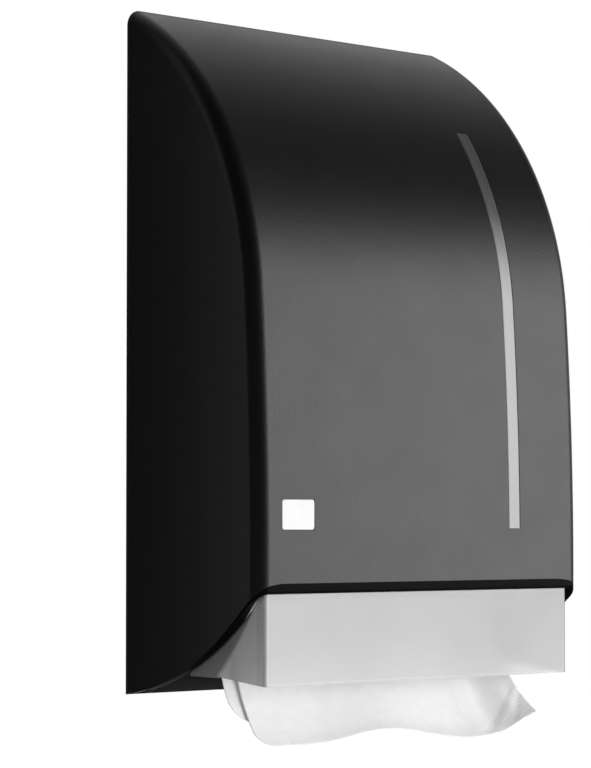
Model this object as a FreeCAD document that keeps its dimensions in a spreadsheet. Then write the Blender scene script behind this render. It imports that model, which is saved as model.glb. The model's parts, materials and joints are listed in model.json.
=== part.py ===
import FreeCAD, Part
import math
import os
import Sketcher

# Wall-mounted dispenser for folded paper towels.
# X runs across the front, -Y points away from the wall and Z is up. Depths are measured from the
# wall towards the user, so a depth d lies at Y = -d. Heights are measured from the lowest edge of
# the casing, and the finished pieces are lowered so that the origin is the centre of the wall
# screws, on the back face of the back plate.

doc = FreeCAD.newDocument("towel_dispenser")

SIZES = {
    # Casing outline
    "cover_width": 280,
    "cover_height": 452,
    "cover_depth": 139.5,
    "crown_radius": 234,
    "front_radius": 2306,
    "bulge_height": 92,
    "ridge_radius": 10,
    "lip_height": 68.1,
    "lip_angle": 37.6,
    "lip_straight": 35.7,
    # Cover and its lower trim
    "cover_wall": 2.5,
    "rim_band": 5.15,
    "rim_side": 6,
    "rim_back": 22,
    "seam_gap": 0.3,
    "fit_gap": 0.1,
    "cut_margin": 20,
    # Back plate and wall screws
    "plate_wall": 2.7,
    "screws_across": 200,
    "screws_up": 260,
    "screw_hole": 5.5,
    "screw_boss": 18,
    "screw_boss_height": 3,
    "rib_width": 3,
    "rib_height": 5,
    "rib_spacing": 120,
    "rib_length": 290,
    "rib_clear": 5,
    # Hinge
    "hinge_depth": 9.5,
    "hinge_height": 7,
    "pin_diameter": 5,
    "pin_head": 9,
    "pin_head_height": 1.5,
    "pin_seat": 1.3,
    "ear_radius": 6,
    "ear_width": 5.5,
    "ear_gap": 0.5,
    "hinge_boss_radius": 5,
    "hinge_boss_width": 4.5,
    "running_gap": 0.05,
    "side_play": 0.3,
    # Magazine
    "cheek_inset": 20.5,
    "towel_fold": 96,
    "towel_gap": 2.5,
    "pile_back": 14,
    "pile_height": 224,
    "pile_round": 4,
    "rest_gap": 0.3,
    "cheek_wall": 2,
    "cheek_bottom": 65,
    "cheek_shoulder": 230,
    "cheek_top": 345,
    "cheek_front_gap": 8.5,
    "cheek_top_inset": 37,
    "foot_width": 12,
    "foot_bottom": 110,
    "shelf_height": 75,
    "shelf_wall": 3,
    "shelf_lip": 2.5,
    "shelf_lip_top": 88,
    "shelf_rib": 7,
    "shelf_rib_inset": 2,
    "exit_back": 52,
    "exit_front": 96,
    # Towel guard below the cover
    "guard_front_gap": 4,
    "guard_side_gap": 9,
    "guard_bottom": 10.8,
    "guard_wall": 2,
    "guard_round": 3,
    "wing_length": 50,
    "wing_rise": 4.5,
    "wing_strip": 8,
    "wing_top": 64,
    "wing_radius": 245,
    "guard_screw_drop": 5.5,
    # Level window and badge in the cover
    "window_centre": 78.8,
    "window_width": 10.7,
    "window_bottom": 108.6,
    "window_top": 380,
    "window_flange": 2.5,
    "window_flange_wall": 1.2,
    "badge_inset": 32.5,
    "badge_height": 117.5,
    "badge_width": 26.7,
    "badge_tall": 19.7,
    "badge_round": 1.6,
    "badge_recess": 0.6,
    "badge_proud": 0.2,
    # Lock in the right side of the cover
    "lock_depth": 42,
    "lock_height": 300,
    "barrel_diameter": 16,
    "barrel_length": 13,
    "bezel_diameter": 21,
    "bezel_wall": 1.2,
    "plug_diameter": 11,
    "key_slot_width": 1.6,
    "key_slot_height": 6.5,
    "key_slot_deep": 4,
    "nut_across": 22,
    "nut_wall": 4,
    "cam_wall": 2,
    "cam_width": 12,
    "cam_reach": 26,
    "cam_hub": 8,
    "cam_square": 6,
    "cam_screw_head": 8,
    "cam_screw_head_height": 2,
    "cam_screw_shank": 3,
    "cam_screw_length": 8,
    "catch_wall": 2,
    "catch_gap": 1,
    "catch_tall": 16,
    "catch_overlap": 12,
    "catch_base": 24,
    "catch_reach": 12,
    # Small screws
    "screw_shank": 3,
    "screw_head": 6,
    "screw_head_height": 1.6,
    "screw_grip": 6,
    "plate_screw_grip": 4.2,
    "guard_screw_grip": 3.6,
    "guard_head_height": 1,
    "screw_recess": 0.8,
    # Hanging towel
    "sheet_wall": 1.2,
    "sheet_top_depth": 74,
    "sheet_top_gap": 0.3,
    "sheet_radius": 105,
    "sheet_reach": 40,
    "sheet_drop": 25,
    "panel_gap": 2.4,
    "panel_past": 2,
    "panel_short": 15,
    "panel_reach": 27,
    "panel_drop": 20,
}


class Size:
    """A dimension that knows its number and the sheet formula that gives it."""

    def __init__(self, value, formula):
        self.value = float(value)
        self.formula = formula

    @staticmethod
    def of(other):
        return other if isinstance(other, Size) else Size(other, repr(other))

    def joined(self, other, sign, value):
        return Size(value, "(%s %s %s)" % (self.formula, sign, Size.of(other).formula))

    def __add__(self, other):
        return self.joined(other, "+", self.value + Size.of(other).value)

    def __sub__(self, other):
        return self.joined(other, "-", self.value - Size.of(other).value)

    def __mul__(self, other):
        return self.joined(other, "*", self.value * Size.of(other).value)

    def __truediv__(self, other):
        return self.joined(other, "/", self.value / Size.of(other).value)

    def __radd__(self, other):
        return Size.of(other) + self

    def __rsub__(self, other):
        return Size.of(other) - self

    def __rmul__(self, other):
        return Size.of(other) * self

    def __neg__(self):
        return Size(-self.value, "(-1 * %s)" % self.formula)


def root(size):
    return Size(math.sqrt(size.value), "sqrt(%s)" % size.formula)


def sine(size):
    return Size(math.sin(math.radians(size.value)), "sin(%s)" % size.formula)


def cosine(size):
    return Size(math.cos(math.radians(size.value)), "cos(%s)" % size.formula)


def write_sheet():
    sheet = doc.addObject("Spreadsheet::Sheet", "Sizes")
    for row, (alias, value) in enumerate(SIZES.items(), start=1):
        sheet.set("A%d" % row, alias)
        sheet.set("B%d" % row, str(value))
        sheet.setAlias("B%d" % row, alias)
    doc.recompute()


def named(alias):
    return Size(SIZES[alias], "Sizes." + alias)


write_sheet()


# Sketches and features

TINY = 1e-3


def bind(item, prop, size):
    """Gives a property its number and ties it to the sheet."""
    size = Size.of(size)
    if "." not in prop:
        setattr(item, prop, size.value)
    item.setExpression(prop, size.formula)


def new_body(label):
    body = doc.addObject("PartDesign::Body", label)
    body.Label = label
    return body


def new_sketch(body, role, offset=None):
    """A sketch on one of the body's origin planes, moved along the plane's normal."""
    sketch = body.newObject("Sketcher::SketchObject", body.Label + "_sketch")
    plane = [item for item in body.Origin.OriginFeatures if item.Role == role][0]
    sketch.AttachmentSupport = [(plane, "")]
    sketch.MapMode = "FlatFace"
    if offset is not None:
        bind(sketch, "AttachmentOffset.Base.z", offset)
    return sketch


def fix_point(sketch, edge, end, point):
    for kind, size in zip(("DistanceX", "DistanceY"), point):
        size = Size.of(size)
        index = sketch.addConstraint(Sketcher.Constraint(kind, -1, 1, edge, end, size.value))
        sketch.setExpression("Constraints[%d]" % index, size.formula)


def fix_radius(sketch, edge, radius):
    radius = Size.of(radius)
    index = sketch.addConstraint(Sketcher.Constraint("Radius", edge, radius.value))
    sketch.setExpression("Constraints[%d]" % index, radius.formula)


def vector(point):
    return FreeCAD.Vector(Size.of(point[0]).value, Size.of(point[1]).value, 0)


def arc_between(start, stop, radius, turn):
    """The short arc from start to stop. turn is +1 when it runs anticlockwise."""
    chord = stop - start
    middle = (start + stop) * 0.5
    normal = FreeCAD.Vector(chord.y, -chord.x, 0)
    normal.normalize()
    rise = radius - math.sqrt(radius * radius - chord.Length ** 2 / 4)
    through = middle + normal * (rise * turn)
    if turn > 0:
        return Part.Arc(start, through, stop)
    return Part.Arc(stop, through, start)


def outline(sketch, points, arcs=None):
    """A closed outline through the points. arcs gives the edges that are round, by the number of
    the point where each starts, as (radius, turn)."""
    arcs = arcs or {}
    ends = []
    for number, point in enumerate(points):
        start = vector(point)
        stop = vector(points[(number + 1) % len(points)])
        if number in arcs:
            radius, turn = arcs[number]
            edge = sketch.addGeometry(arc_between(start, stop, Size.of(radius).value, turn), False)
            ends.append((edge, 1, 2) if turn > 0 else (edge, 2, 1))
        else:
            edge = sketch.addGeometry(Part.LineSegment(start, stop), False)
            ends.append((edge, 1, 2))
    for number, (edge, first, last) in enumerate(ends):
        following, next_first, _ = ends[(number + 1) % len(ends)]
        sketch.addConstraint(Sketcher.Constraint("Coincident", edge, last, following, next_first))
        fix_point(sketch, edge, first, points[number])
        if number in arcs:
            fix_radius(sketch, edge, arcs[number][0])
    return sketch


def rectangle(sketch, low, high):
    return outline(sketch, [low, (high[0], low[1]), high, (low[0], high[1])])


def circle(sketch, centre, radius):
    shape = Part.Circle(vector(centre), FreeCAD.Vector(0, 0, 1), Size.of(radius).value)
    edge = sketch.addGeometry(shape, False)
    fix_point(sketch, edge, 3, centre)
    fix_radius(sketch, edge, radius)
    return sketch


def volume(body):
    doc.recompute()
    return 0.0 if body.Shape.isNull() else body.Shape.Volume


def pad(body, sketch, length, reverse=False, symmetric=False):
    feature = body.newObject("PartDesign::Pad", body.Label + "_pad")
    feature.Profile = sketch
    bind(feature, "Length", length)
    feature.Reversed = reverse
    if symmetric:
        feature.SideType = "Symmetric"
    doc.recompute()
    return feature


def pocket(body, sketch, length=None, reverse=False, symmetric=False):
    """Cuts the sketch out of the body. Without a length it cuts right through, both ways."""
    before = volume(body)
    feature = body.newObject("PartDesign::Pocket", body.Label + "_pocket")
    feature.Profile = sketch
    if length is None:
        feature.Type = "ThroughAll"
        symmetric = True
    else:
        bind(feature, "Length", length)
    feature.Reversed = reverse
    if symmetric:
        feature.SideType = "Symmetric"
    if volume(body) > before - TINY:
        raise ValueError("a pocket in %s cuts nothing" % body.Label)
    return feature


def fillet(body, radius, wanted):
    """Rounds every edge of the body that wanted(edge) picks."""
    tip = body.Tip
    names = ["Edge%d" % (number + 1) for number, edge in enumerate(tip.Shape.Edges) if wanted(edge)]
    if not names:
        raise ValueError("nothing to round in %s" % body.Label)
    feature = body.newObject("PartDesign::Fillet", body.Label + "_fillet")
    feature.Base = (tip, names)
    bind(feature, "Radius", radius)
    doc.recompute()
    return feature


def near(value, size):
    return abs(value - Size.of(size).value) < TINY


# Casing outline, seen from the side. Points are (-depth, height).

width = named("cover_width")
height = named("cover_height")
depth = named("cover_depth")
wall = named("cover_wall")
crown = named("crown_radius")
front = named("front_radius")
bulge = named("bulge_height")
half_width = width / 2
margin = named("cut_margin")
beyond = depth + margin
floor = -margin
above = height + margin


def crown_centre():
    """Centre of the crown arc, which ends at the wall and runs on smoothly into the front arc."""
    across = front - depth
    rise = height - bulge
    span = root(across * across + rise * rise)
    inner = front - crown
    along = (inner * inner - crown * crown + span * span) / (2 * span)
    off = root(inner * inner - along * along)
    return ((across * along + rise * off) / span - across,
            (rise * along - across * off) / span + bulge)


CROWN_D, CROWN_H = crown_centre()
FRONT_D = depth - front


def join_point(inset):
    """Where the crown arc meets the front arc, moved in by the inset."""
    share = (crown - inset) / (front - crown)
    return (-(CROWN_D + (CROWN_D - FRONT_D) * share), CROWN_H + (CROWN_H - bulge) * share)


def front_depth(at_height, inset=0):
    reach = front - inset
    drop = at_height - bulge
    return FRONT_D + root(reach * reach - drop * drop)


def crown_depth(at_height, inset=0):
    reach = crown - inset
    drop = at_height - CROWN_H
    return CROWN_D + root(reach * reach - drop * drop)


def crown_height(at_depth, inset=0):
    reach = crown - inset
    along = at_depth - CROWN_D
    return CROWN_H + root(reach * reach - along * along)


lip = named("lip_height")
lip_angle = named("lip_angle")
lip_front = front_depth(lip)
lip_sine = sine(lip_angle)
lip_cosine = cosine(lip_angle)
LIP_D = lip_front - named("lip_straight") * lip_cosine
LIP_H = lip - named("lip_straight") * lip_sine
LIP_RADIUS = (LIP_D * LIP_D + LIP_H * LIP_H) / (2 * (LIP_D * lip_sine - LIP_H * lip_cosine))
LIP_CENTRE_D = LIP_D - LIP_RADIUS * lip_sine
LIP_CENTRE_H = LIP_H + LIP_RADIUS * lip_cosine


def band_point(band):
    """Where the straight lower edge meets its arc, moved up by the band."""
    return (-(LIP_D - band * lip_sine), LIP_H + band * lip_cosine)


def band_line(band, at_depth):
    """Height of the straight lower edge at a depth, moved up by the band."""
    run = at_depth - (LIP_D - band * lip_sine)
    return LIP_H + band * lip_cosine + run * lip_sine / lip_cosine


def band_arc(band, at_depth):
    """Height of the round lower edge at a depth, moved up by the band."""
    reach = LIP_RADIUS - band
    along = at_depth - LIP_CENTRE_D
    return LIP_CENTRE_H - root(reach * reach - along * along)


def casing_block(body):
    """The whole casing as a solid block with its two front ridges rounded."""
    sketch = new_sketch(body, "YZ_Plane")
    points = [(0, 0), band_point(Size.of(0)), (-lip_front, lip), join_point(Size.of(0)), (0, height)]
    arcs = {0: (LIP_RADIUS, -1), 2: (front, -1), 3: (crown, -1)}
    outline(sketch, points, arcs)
    pad(body, sketch, width, symmetric=True)

    def on_ridge(edge):
        box = edge.BoundBox
        on_side = near(abs(box.XMin), half_width) and near(box.XMin, box.XMax)
        return on_side and isinstance(edge.Curve, Part.Circle) and box.ZMin > lip.value - TINY

    fillet(body, named("ridge_radius"), on_ridge)


# Cover

hinge_d = named("hinge_depth")
hinge_h = named("hinge_height")
hinge = (-hinge_d, hinge_h)
seam = named("plate_wall") + named("seam_gap")
band = named("rim_band")
rim_back = named("rim_back")
inner_half = half_width - wall


def hollow_block(body):
    """The room inside the cover as a solid, open at the back and below, with its ridges rounded."""
    sketch = new_sketch(body, "YZ_Plane")
    roof = crown_height(Size.of(0), wall)
    points = [(margin, floor), (-front_depth(floor, wall), floor), join_point(wall),
              (0, roof), (margin, roof)]
    outline(sketch, points, {1: (front - wall, -1), 2: (crown - wall, -1)})
    pad(body, sketch, inner_half * 2, symmetric=True)

    def on_ridge(edge):
        box = edge.BoundBox
        on_side = near(abs(box.XMin), inner_half) and near(box.XMin, box.XMax)
        return on_side and isinstance(edge.Curve, Part.Circle)

    fillet(body, named("ridge_radius") - wall, on_ridge)


def make_cover():
    body = new_body("cover")
    casing_block(body)
    room = new_body("cover_room")
    hollow_block(room)
    hollow = body.newObject("PartDesign::Boolean", "cover_hollow")
    hollow.setObjects([room])
    hollow.Type = "Cut"
    # Back edge stands clear of the back plate, and swings clear of it below the hinge
    back = new_sketch(body, "YZ_Plane")
    turn = hinge_d - seam
    points = [(0, floor), (-hinge_d, floor), (-hinge_d, hinge_h - turn), (-seam, hinge_h),
              (-seam, above), (0, above)]
    outline(back, points, {2: (turn, 1)})
    pocket(body, back)
    # Place of the lower trim
    trim = new_sketch(body, "YZ_Plane")
    points = [(-rim_back, floor), (-beyond, floor), (-beyond, band_line(band, beyond)), band_point(band),
              (-rim_back, band_arc(band, rim_back))]
    outline(trim, points, {3: (LIP_RADIUS - band, 1)})
    pocket(body, trim)
    # Hinge bosses with blind bores for the pins
    for side in (-1, 1):
        boss = new_sketch(body, "YZ_Plane", side * (inner_half - named("hinge_boss_width")))
        circle(boss, hinge, named("hinge_boss_radius"))
        pad(body, boss, named("hinge_boss_width"), reverse=side < 0)
        bore = new_sketch(body, "YZ_Plane", side * (inner_half - named("hinge_boss_width")))
        circle(bore, hinge, named("pin_diameter") / 2)
        pocket(body, bore, named("hinge_boss_width") + named("pin_seat"), reverse=side > 0)
    # Slot for the level window
    slot = new_sketch(body, "XZ_Plane", depth / 2)
    half_window = named("window_width") / 2
    rectangle(slot, (named("window_centre") - half_window, named("window_bottom")),
              (named("window_centre") + half_window, named("window_top")))
    pocket(body, slot, beyond, reverse=True)
    # Recess for the badge
    recess = new_sketch(body, "XZ_Plane", BADGE_SEAT)
    badge_outline(recess, Size.of(0))
    pocket(body, recess, beyond, reverse=True)
    # Hole for the lock
    hole = new_sketch(body, "YZ_Plane", inner_half - wall)
    circle(hole, LOCK, named("barrel_diameter") / 2 + named("fit_gap"))
    pocket(body, hole, wall * 3, reverse=True)
    return body


BADGE_SEAT = front_depth(named("badge_height")) - named("badge_recess")
LOCK = (-named("lock_depth"), named("lock_height"))


def badge_outline(sketch, gap):
    """A rectangle with rounded corners."""
    across = named("badge_width") / 2 - gap
    tall = named("badge_tall") / 2 - gap
    corner = named("badge_round")
    centre = named("badge_inset") - half_width
    level = named("badge_height")
    left, right = centre - across, centre + across
    low, high = level - tall, level + tall
    points = [(left + corner, low), (right - corner, low), (right, low + corner), (right, high - corner),
              (right - corner, high), (left + corner, high), (left, high - corner), (left, low + corner)]
    outline(sketch, points, {number: (corner, 1) for number in (1, 3, 5, 7)})


def make_badge():
    body = new_body("badge_plate")
    sketch = new_sketch(body, "XZ_Plane", BADGE_SEAT)
    badge_outline(sketch, named("fit_gap"))
    pad(body, sketch, named("badge_recess") + named("badge_proud"))
    return body


def make_rim():
    """Trim along the lower edge of the cover: a narrow front bar and two curved sides."""
    body = new_body("cover_rim")
    casing_block(body)
    upper = new_sketch(body, "YZ_Plane")
    points = [(-rim_back, floor), (-rim_back, band_arc(band, rim_back)), band_point(band),
              (-beyond, band_line(band, beyond)), (-beyond, above), (0, above), (0, floor)]
    outline(upper, points, {1: (LIP_RADIUS - band, -1)})
    pocket(body, upper)
    inside = new_sketch(body, "XY_Plane")
    half = half_width - named("rim_side")
    rectangle(inside, (-half, -(lip_front - wall)), (half, 0))
    pocket(body, inside)
    return body


def window_profile(sketch, outer, inner, low, high):
    """A strip that follows the curved front between two insets and two heights."""
    points = [(-front_depth(low, outer), low), join_point(outer), (-crown_depth(high, outer), high),
              (-crown_depth(high, inner), high), join_point(inner), (-front_depth(low, inner), low)]
    arcs = {0: (front - outer, -1), 1: (crown - outer, -1), 3: (crown - inner, 1), 4: (front - inner, 1)}
    outline(sketch, points, arcs)


def make_window():
    body = new_body("level_window")
    gap = named("fit_gap")
    half = named("window_width") / 2 - gap
    strip = new_sketch(body, "YZ_Plane", named("window_centre") - half)
    window_profile(strip, Size.of(0), wall + gap, named("window_bottom") + gap, named("window_top") - gap)
    pad(body, strip, half * 2)
    edge = named("window_flange")
    flange = new_sketch(body, "YZ_Plane", named("window_centre") - half - edge)
    window_profile(flange, wall + gap, wall + gap + named("window_flange_wall"),
                   named("window_bottom") - edge, named("window_top") + edge)
    pad(body, flange, (half + edge) * 2)
    return body


# Back plate

def make_plate():
    body = new_body("back_plate")
    casing_block(body)
    ahead = new_sketch(body, "YZ_Plane")
    rectangle(ahead, (-beyond, floor), (-named("plate_wall"), above))
    pocket(body, ahead)
    face = named("plate_wall")
    # Stiffening ribs
    for side in (-1, 1):
        rib = new_sketch(body, "XZ_Plane", face)
        centre = side * named("rib_spacing") / 2
        start = shelf_top + named("rib_clear")
        rectangle(rib, (centre - named("rib_width") / 2, start),
                  (centre + named("rib_width") / 2, start + named("rib_length")))
        pad(body, rib, named("rib_height"))
    # Bosses and holes for the wall screws
    for across in (-1, 1):
        for up in (-1, 1):
            place = (across * named("screws_across") / 2, height / 2 + up * named("screws_up") / 2)
            boss = new_sketch(body, "XZ_Plane", face)
            circle(boss, place, named("screw_boss") / 2)
            pad(body, boss, named("screw_boss_height"))
            hole = new_sketch(body, "XZ_Plane")
            circle(hole, place, named("screw_hole") / 2)
            pocket(body, hole)
    # Hinge ears with running bores
    ear = named("ear_radius")
    for side in (-1, 1):
        start = side * (EAR_OUTER - named("ear_width"))
        lug = new_sketch(body, "YZ_Plane", start)
        points = [(-face, hinge_h - ear), (-face, hinge_h + ear), (-hinge_d, hinge_h + ear),
                  (-hinge_d - ear, hinge_h), (-hinge_d, hinge_h - ear)]
        outline(lug, points, {2: (ear, 1), 3: (ear, 1)})
        pad(body, lug, named("ear_width"), reverse=side < 0)
        bore = new_sketch(body, "YZ_Plane", start)
        circle(bore, hinge, named("pin_diameter") / 2 + named("running_gap"))
        pocket(body, bore, named("ear_width"), reverse=side > 0)
    # Seats for the cheek screws
    for side in (-1, 1):
        for level in CHEEK_SCREW_LEVELS:
            seat = new_sketch(body, "XZ_Plane", face)
            circle(seat, (side * FOOT_CENTRE, level), named("screw_shank") / 2)
            pocket(body, seat, named("plate_screw_grip") - named("cheek_wall"))
    return body


EAR_OUTER = inner_half - named("hinge_boss_width") - named("ear_gap")
# Half the room between the cheeks, which stand clear of the lock in the cover
magazine = inner_half - named("cheek_inset") - named("cheek_wall")
towel_width = (magazine - named("towel_gap")) * 2
FOOT_CENTRE = magazine + named("cheek_wall") + named("foot_width") / 2
foot_bottom = named("foot_bottom")
foot_top = named("cheek_top")
CHEEK_SCREW_SHARES = (0.08, 0.5, 0.92)
CHEEK_SCREW_LEVELS = [foot_bottom + (foot_top - foot_bottom) * share for share in CHEEK_SCREW_SHARES]


def make_pins():
    """Two headed pins, pushed outwards through the ears into the cover's bosses."""
    pieces = []
    radius = named("pin_diameter") / 2
    ear_inner = EAR_OUTER - named("ear_width")
    tip = inner_half + named("pin_seat")
    for side in (-1, 1):
        inner_end = ear_inner - named("side_play")
        shank = cylinder("pin_shank", radius, tip - inner_end, (side * inner_end, -hinge_d, hinge_h), side)
        head_start = inner_end - named("pin_head_height")
        head = cylinder("pin_head", named("pin_head") / 2, named("pin_head_height"),
                        (side * head_start, -hinge_d, hinge_h), side)
        pieces.append(joined("hinge_pin", [shank, head]))
    return gathered("hinge_pins", pieces)


# Solids made of primitives

AXES = {
    "x": FreeCAD.Rotation(FreeCAD.Vector(0, 1, 0), 90),
    "-x": FreeCAD.Rotation(FreeCAD.Vector(0, 1, 0), -90),
    "-y": FreeCAD.Rotation(FreeCAD.Vector(1, 0, 0), 90),
    "y": FreeCAD.Rotation(FreeCAD.Vector(1, 0, 0), -90),
}


def direction(heading):
    if isinstance(heading, str):
        return AXES[heading]
    return AXES["x" if heading > 0 else "-x"]


def put(item, place, heading):
    item.Placement.Rotation = direction(heading)
    for axis, size in zip("xyz", place):
        bind(item, "Placement.Base." + axis, size)
    return item


def cylinder(name, radius, length, place, heading):
    item = doc.addObject("Part::Cylinder", name)
    bind(item, "Radius", radius)
    bind(item, "Height", length)
    return put(item, place, heading)


def block(name, length, breadth, tall, place):
    item = doc.addObject("Part::Box", name)
    bind(item, "Length", length)
    bind(item, "Width", breadth)
    bind(item, "Height", tall)
    for axis, size in zip("xyz", place):
        bind(item, "Placement.Base." + axis, size)
    return item


def joined(name, items):
    item = doc.addObject("Part::MultiFuse", name)
    item.Shapes = items
    return item


def cut(name, base, tool):
    item = doc.addObject("Part::Cut", name)
    item.Base = base
    item.Tool = tool
    return item


def gathered(label, items):
    group = doc.addObject("Part::Compound", label)
    group.Label = label
    group.Links = items
    return group


def screw(place, heading, grip, head_height):
    """A screw whose head stands on the place and whose shank runs along the heading."""
    opposite = {"x": "-x", "-x": "x", "y": "-y", "-y": "y"}[heading]
    shank = cylinder("shank", named("screw_shank") / 2, grip, place, heading)
    head = cylinder("head", named("screw_head") / 2, head_height, place, opposite)
    body = joined("screw_body", [shank, head])
    # Six-sided driver recess
    recess = doc.addObject("Part::Prism", "recess")
    recess.Polygon = 6
    bind(recess, "Circumradius", named("screw_shank") / 2)
    bind(recess, "Height", head_height)
    sign = -1 if heading in ("x", "y") else 1
    lift = sign * (head_height - named("screw_recess"))
    moved = [size + lift if axis == heading[-1] else size for axis, size in zip("xyz", map(Size.of, place))]
    put(recess, moved, opposite)
    return cut("screw", body, recess)


# Magazine: two cheeks carry two shelves, and the towels leave between the shelves

cheek_front = depth - wall - named("cheek_front_gap")
shelf_top = named("shelf_height")
shelf_under = shelf_top - named("shelf_wall")
rib_bottom = shelf_under - named("shelf_rib")
SCREW_LEVEL = shelf_under - named("shelf_rib") / 2
rear_shelf_back = named("plate_wall") + named("cheek_wall")
first_rib = named("shelf_rib_inset")
last_rib = named("shelf_rib_inset") + named("shelf_rib")
RIB_DEPTHS = {
    "rear_shelf": [rear_shelf_back + first_rib, named("exit_back") - last_rib],
    "front_shelf": [named("exit_front") + first_rib, cheek_front - last_rib],
}
shelf_half = magazine


def make_cheek(label, side):
    body = new_body(label)
    face = named("plate_wall")
    web = new_sketch(body, "YZ_Plane", side * magazine)
    points = [(-face, named("cheek_bottom")), (-cheek_front, named("cheek_bottom")),
              (-cheek_front, named("cheek_shoulder")),
              (-(cheek_front - named("cheek_top_inset")), named("cheek_top")), (-face, named("cheek_top"))]
    outline(web, points)
    pad(body, web, named("cheek_wall"), reverse=side < 0)
    foot = new_sketch(body, "XZ_Plane", face)
    near_edge = side * magazine
    far_edge = side * (magazine + named("cheek_wall") + named("foot_width"))
    low, high = (near_edge, far_edge) if side > 0 else (far_edge, near_edge)
    rectangle(foot, (low, foot_bottom), (high, foot_top))
    pad(body, foot, named("cheek_wall"))
    for level in CHEEK_SCREW_LEVELS:
        hole = new_sketch(body, "XZ_Plane", face)
        circle(hole, (side * FOOT_CENTRE, level), named("screw_shank") / 2)
        pocket(body, hole, named("cheek_wall"), reverse=True)
    for back in RIB_DEPTHS["rear_shelf"] + RIB_DEPTHS["front_shelf"]:
        hole = new_sketch(body, "YZ_Plane", side * magazine)
        circle(hole, (-(back + named("shelf_rib") / 2), SCREW_LEVEL), named("screw_shank") / 2)
        pocket(body, hole, named("cheek_wall"), reverse=side > 0)
    if side > 0:
        for level in CATCH_SCREW_LEVELS:
            hole = new_sketch(body, "YZ_Plane", magazine)
            circle(hole, (-CATCH_SCREW_DEPTH, level), named("screw_shank") / 2)
            pocket(body, hole, named("cheek_wall"), reverse=True)
    return body


def make_shelf(label, points):
    body = new_body(label)
    sketch = new_sketch(body, "YZ_Plane")
    outline(sketch, points)
    pad(body, sketch, shelf_half * 2, symmetric=True)
    for side in (-1, 1):
        for back in RIB_DEPTHS[label]:
            hole = new_sketch(body, "YZ_Plane", side * shelf_half)
            circle(hole, (-(back + named("shelf_rib") / 2), SCREW_LEVEL), named("screw_shank") / 2)
            pocket(body, hole, named("screw_grip") - named("cheek_wall"), reverse=side < 0)
    return body


def ribbed_underside(back_depths):
    """Underside of a shelf with its ribs, from back to front."""
    points = []
    for back in back_depths:
        points += [(-back, shelf_under), (-back, rib_bottom), (-(back + named("shelf_rib")), rib_bottom),
                   (-(back + named("shelf_rib")), shelf_under)]
    return points


def make_rear_shelf():
    ends = [(-rear_shelf_back, shelf_top), (-rear_shelf_back, shelf_under)]
    lip_end = [(-named("exit_back"), shelf_under), (-named("exit_back"), shelf_top)]
    return make_shelf("rear_shelf", ends + ribbed_underside(RIB_DEPTHS["rear_shelf"]) + lip_end)


GUARD_FRONT = lip_front - named("guard_front_gap")
GUARD_BACK = GUARD_FRONT - named("guard_wall")


def make_front_shelf():
    start = [(-named("exit_front"), shelf_top), (-named("exit_front"), shelf_under)]
    lip_back = GUARD_BACK - named("shelf_lip")
    end = [(-GUARD_BACK, shelf_under), (-GUARD_BACK, named("shelf_lip_top")),
           (-lip_back, named("shelf_lip_top")), (-lip_back, shelf_top)]
    body = make_shelf("front_shelf", start + ribbed_underside(RIB_DEPTHS["front_shelf"]) + end)
    for place in GUARD_SCREWS:
        hole = new_sketch(body, "XZ_Plane", GUARD_BACK)
        circle(hole, place, named("screw_shank") / 2)
        pocket(body, hole, named("shelf_lip"))
    return body


guard_half = half_width - named("guard_side_gap")
GUARD_SCREW_LEVEL = named("shelf_lip_top") - named("guard_screw_drop")
GUARD_SCREW_SHARES = (-0.85, -0.3, 0.3, 0.85)
GUARD_SCREWS = [(shelf_half * share, GUARD_SCREW_LEVEL) for share in GUARD_SCREW_SHARES]


def make_guard():
    """Clear guard in front of the towel outlet: a front pane with a wing at each side."""
    body = new_body("towel_guard")
    bottom = named("guard_bottom")
    top = named("shelf_lip_top")
    pane = new_sketch(body, "XZ_Plane", GUARD_BACK)
    rectangle(pane, (-guard_half, bottom), (guard_half, top))
    pad(body, pane, named("guard_wall"))
    strip = GUARD_FRONT - named("wing_strip")
    tail = GUARD_FRONT - named("wing_length")
    for side in (-1, 1):
        wing = new_sketch(body, "YZ_Plane", side * (guard_half - named("guard_wall")))
        points = [(-GUARD_FRONT, bottom), (-GUARD_FRONT, top), (-strip, top), (-strip, named("wing_top")),
                  (-tail, bottom + named("wing_rise"))]
        outline(wing, points, {3: (named("wing_radius"), 1)})
        pad(body, wing, named("guard_wall"), reverse=side < 0)

    def outer_corner(edge):
        box = edge.BoundBox
        return near(abs(box.XMin), guard_half) and near(box.XMin, box.XMax) and near(box.YMax, -GUARD_FRONT)

    fillet(body, named("guard_round"), outer_corner)
    # Sunk seats for the guard screws
    for place in GUARD_SCREWS:
        hole = new_sketch(body, "XZ_Plane", GUARD_BACK)
        circle(hole, place, named("screw_shank") / 2)
        pocket(body, hole, named("guard_wall"), reverse=True)
        seat = new_sketch(body, "XZ_Plane", GUARD_FRONT)
        circle(seat, place, named("screw_head") / 2)
        pocket(body, seat, named("guard_head_height"))
    return body


def make_cheek_screws():
    screws = []
    face = named("plate_wall") + named("cheek_wall")
    for side in (-1, 1):
        for level in CHEEK_SCREW_LEVELS:
            screws.append(screw((side * FOOT_CENTRE, -face, level), "y", named("plate_screw_grip"),
                                named("screw_head_height")))
    return gathered("cheek_screws", screws)


def make_shelf_screws():
    screws = []
    outer = magazine + named("cheek_wall")
    for side in (-1, 1):
        for back in RIB_DEPTHS["rear_shelf"] + RIB_DEPTHS["front_shelf"]:
            place = (side * outer, -(back + named("shelf_rib") / 2), SCREW_LEVEL)
            screws.append(screw(place, "-x" if side > 0 else "x", named("screw_grip"),
                                named("screw_head_height")))
    return gathered("shelf_screws", screws)


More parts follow.
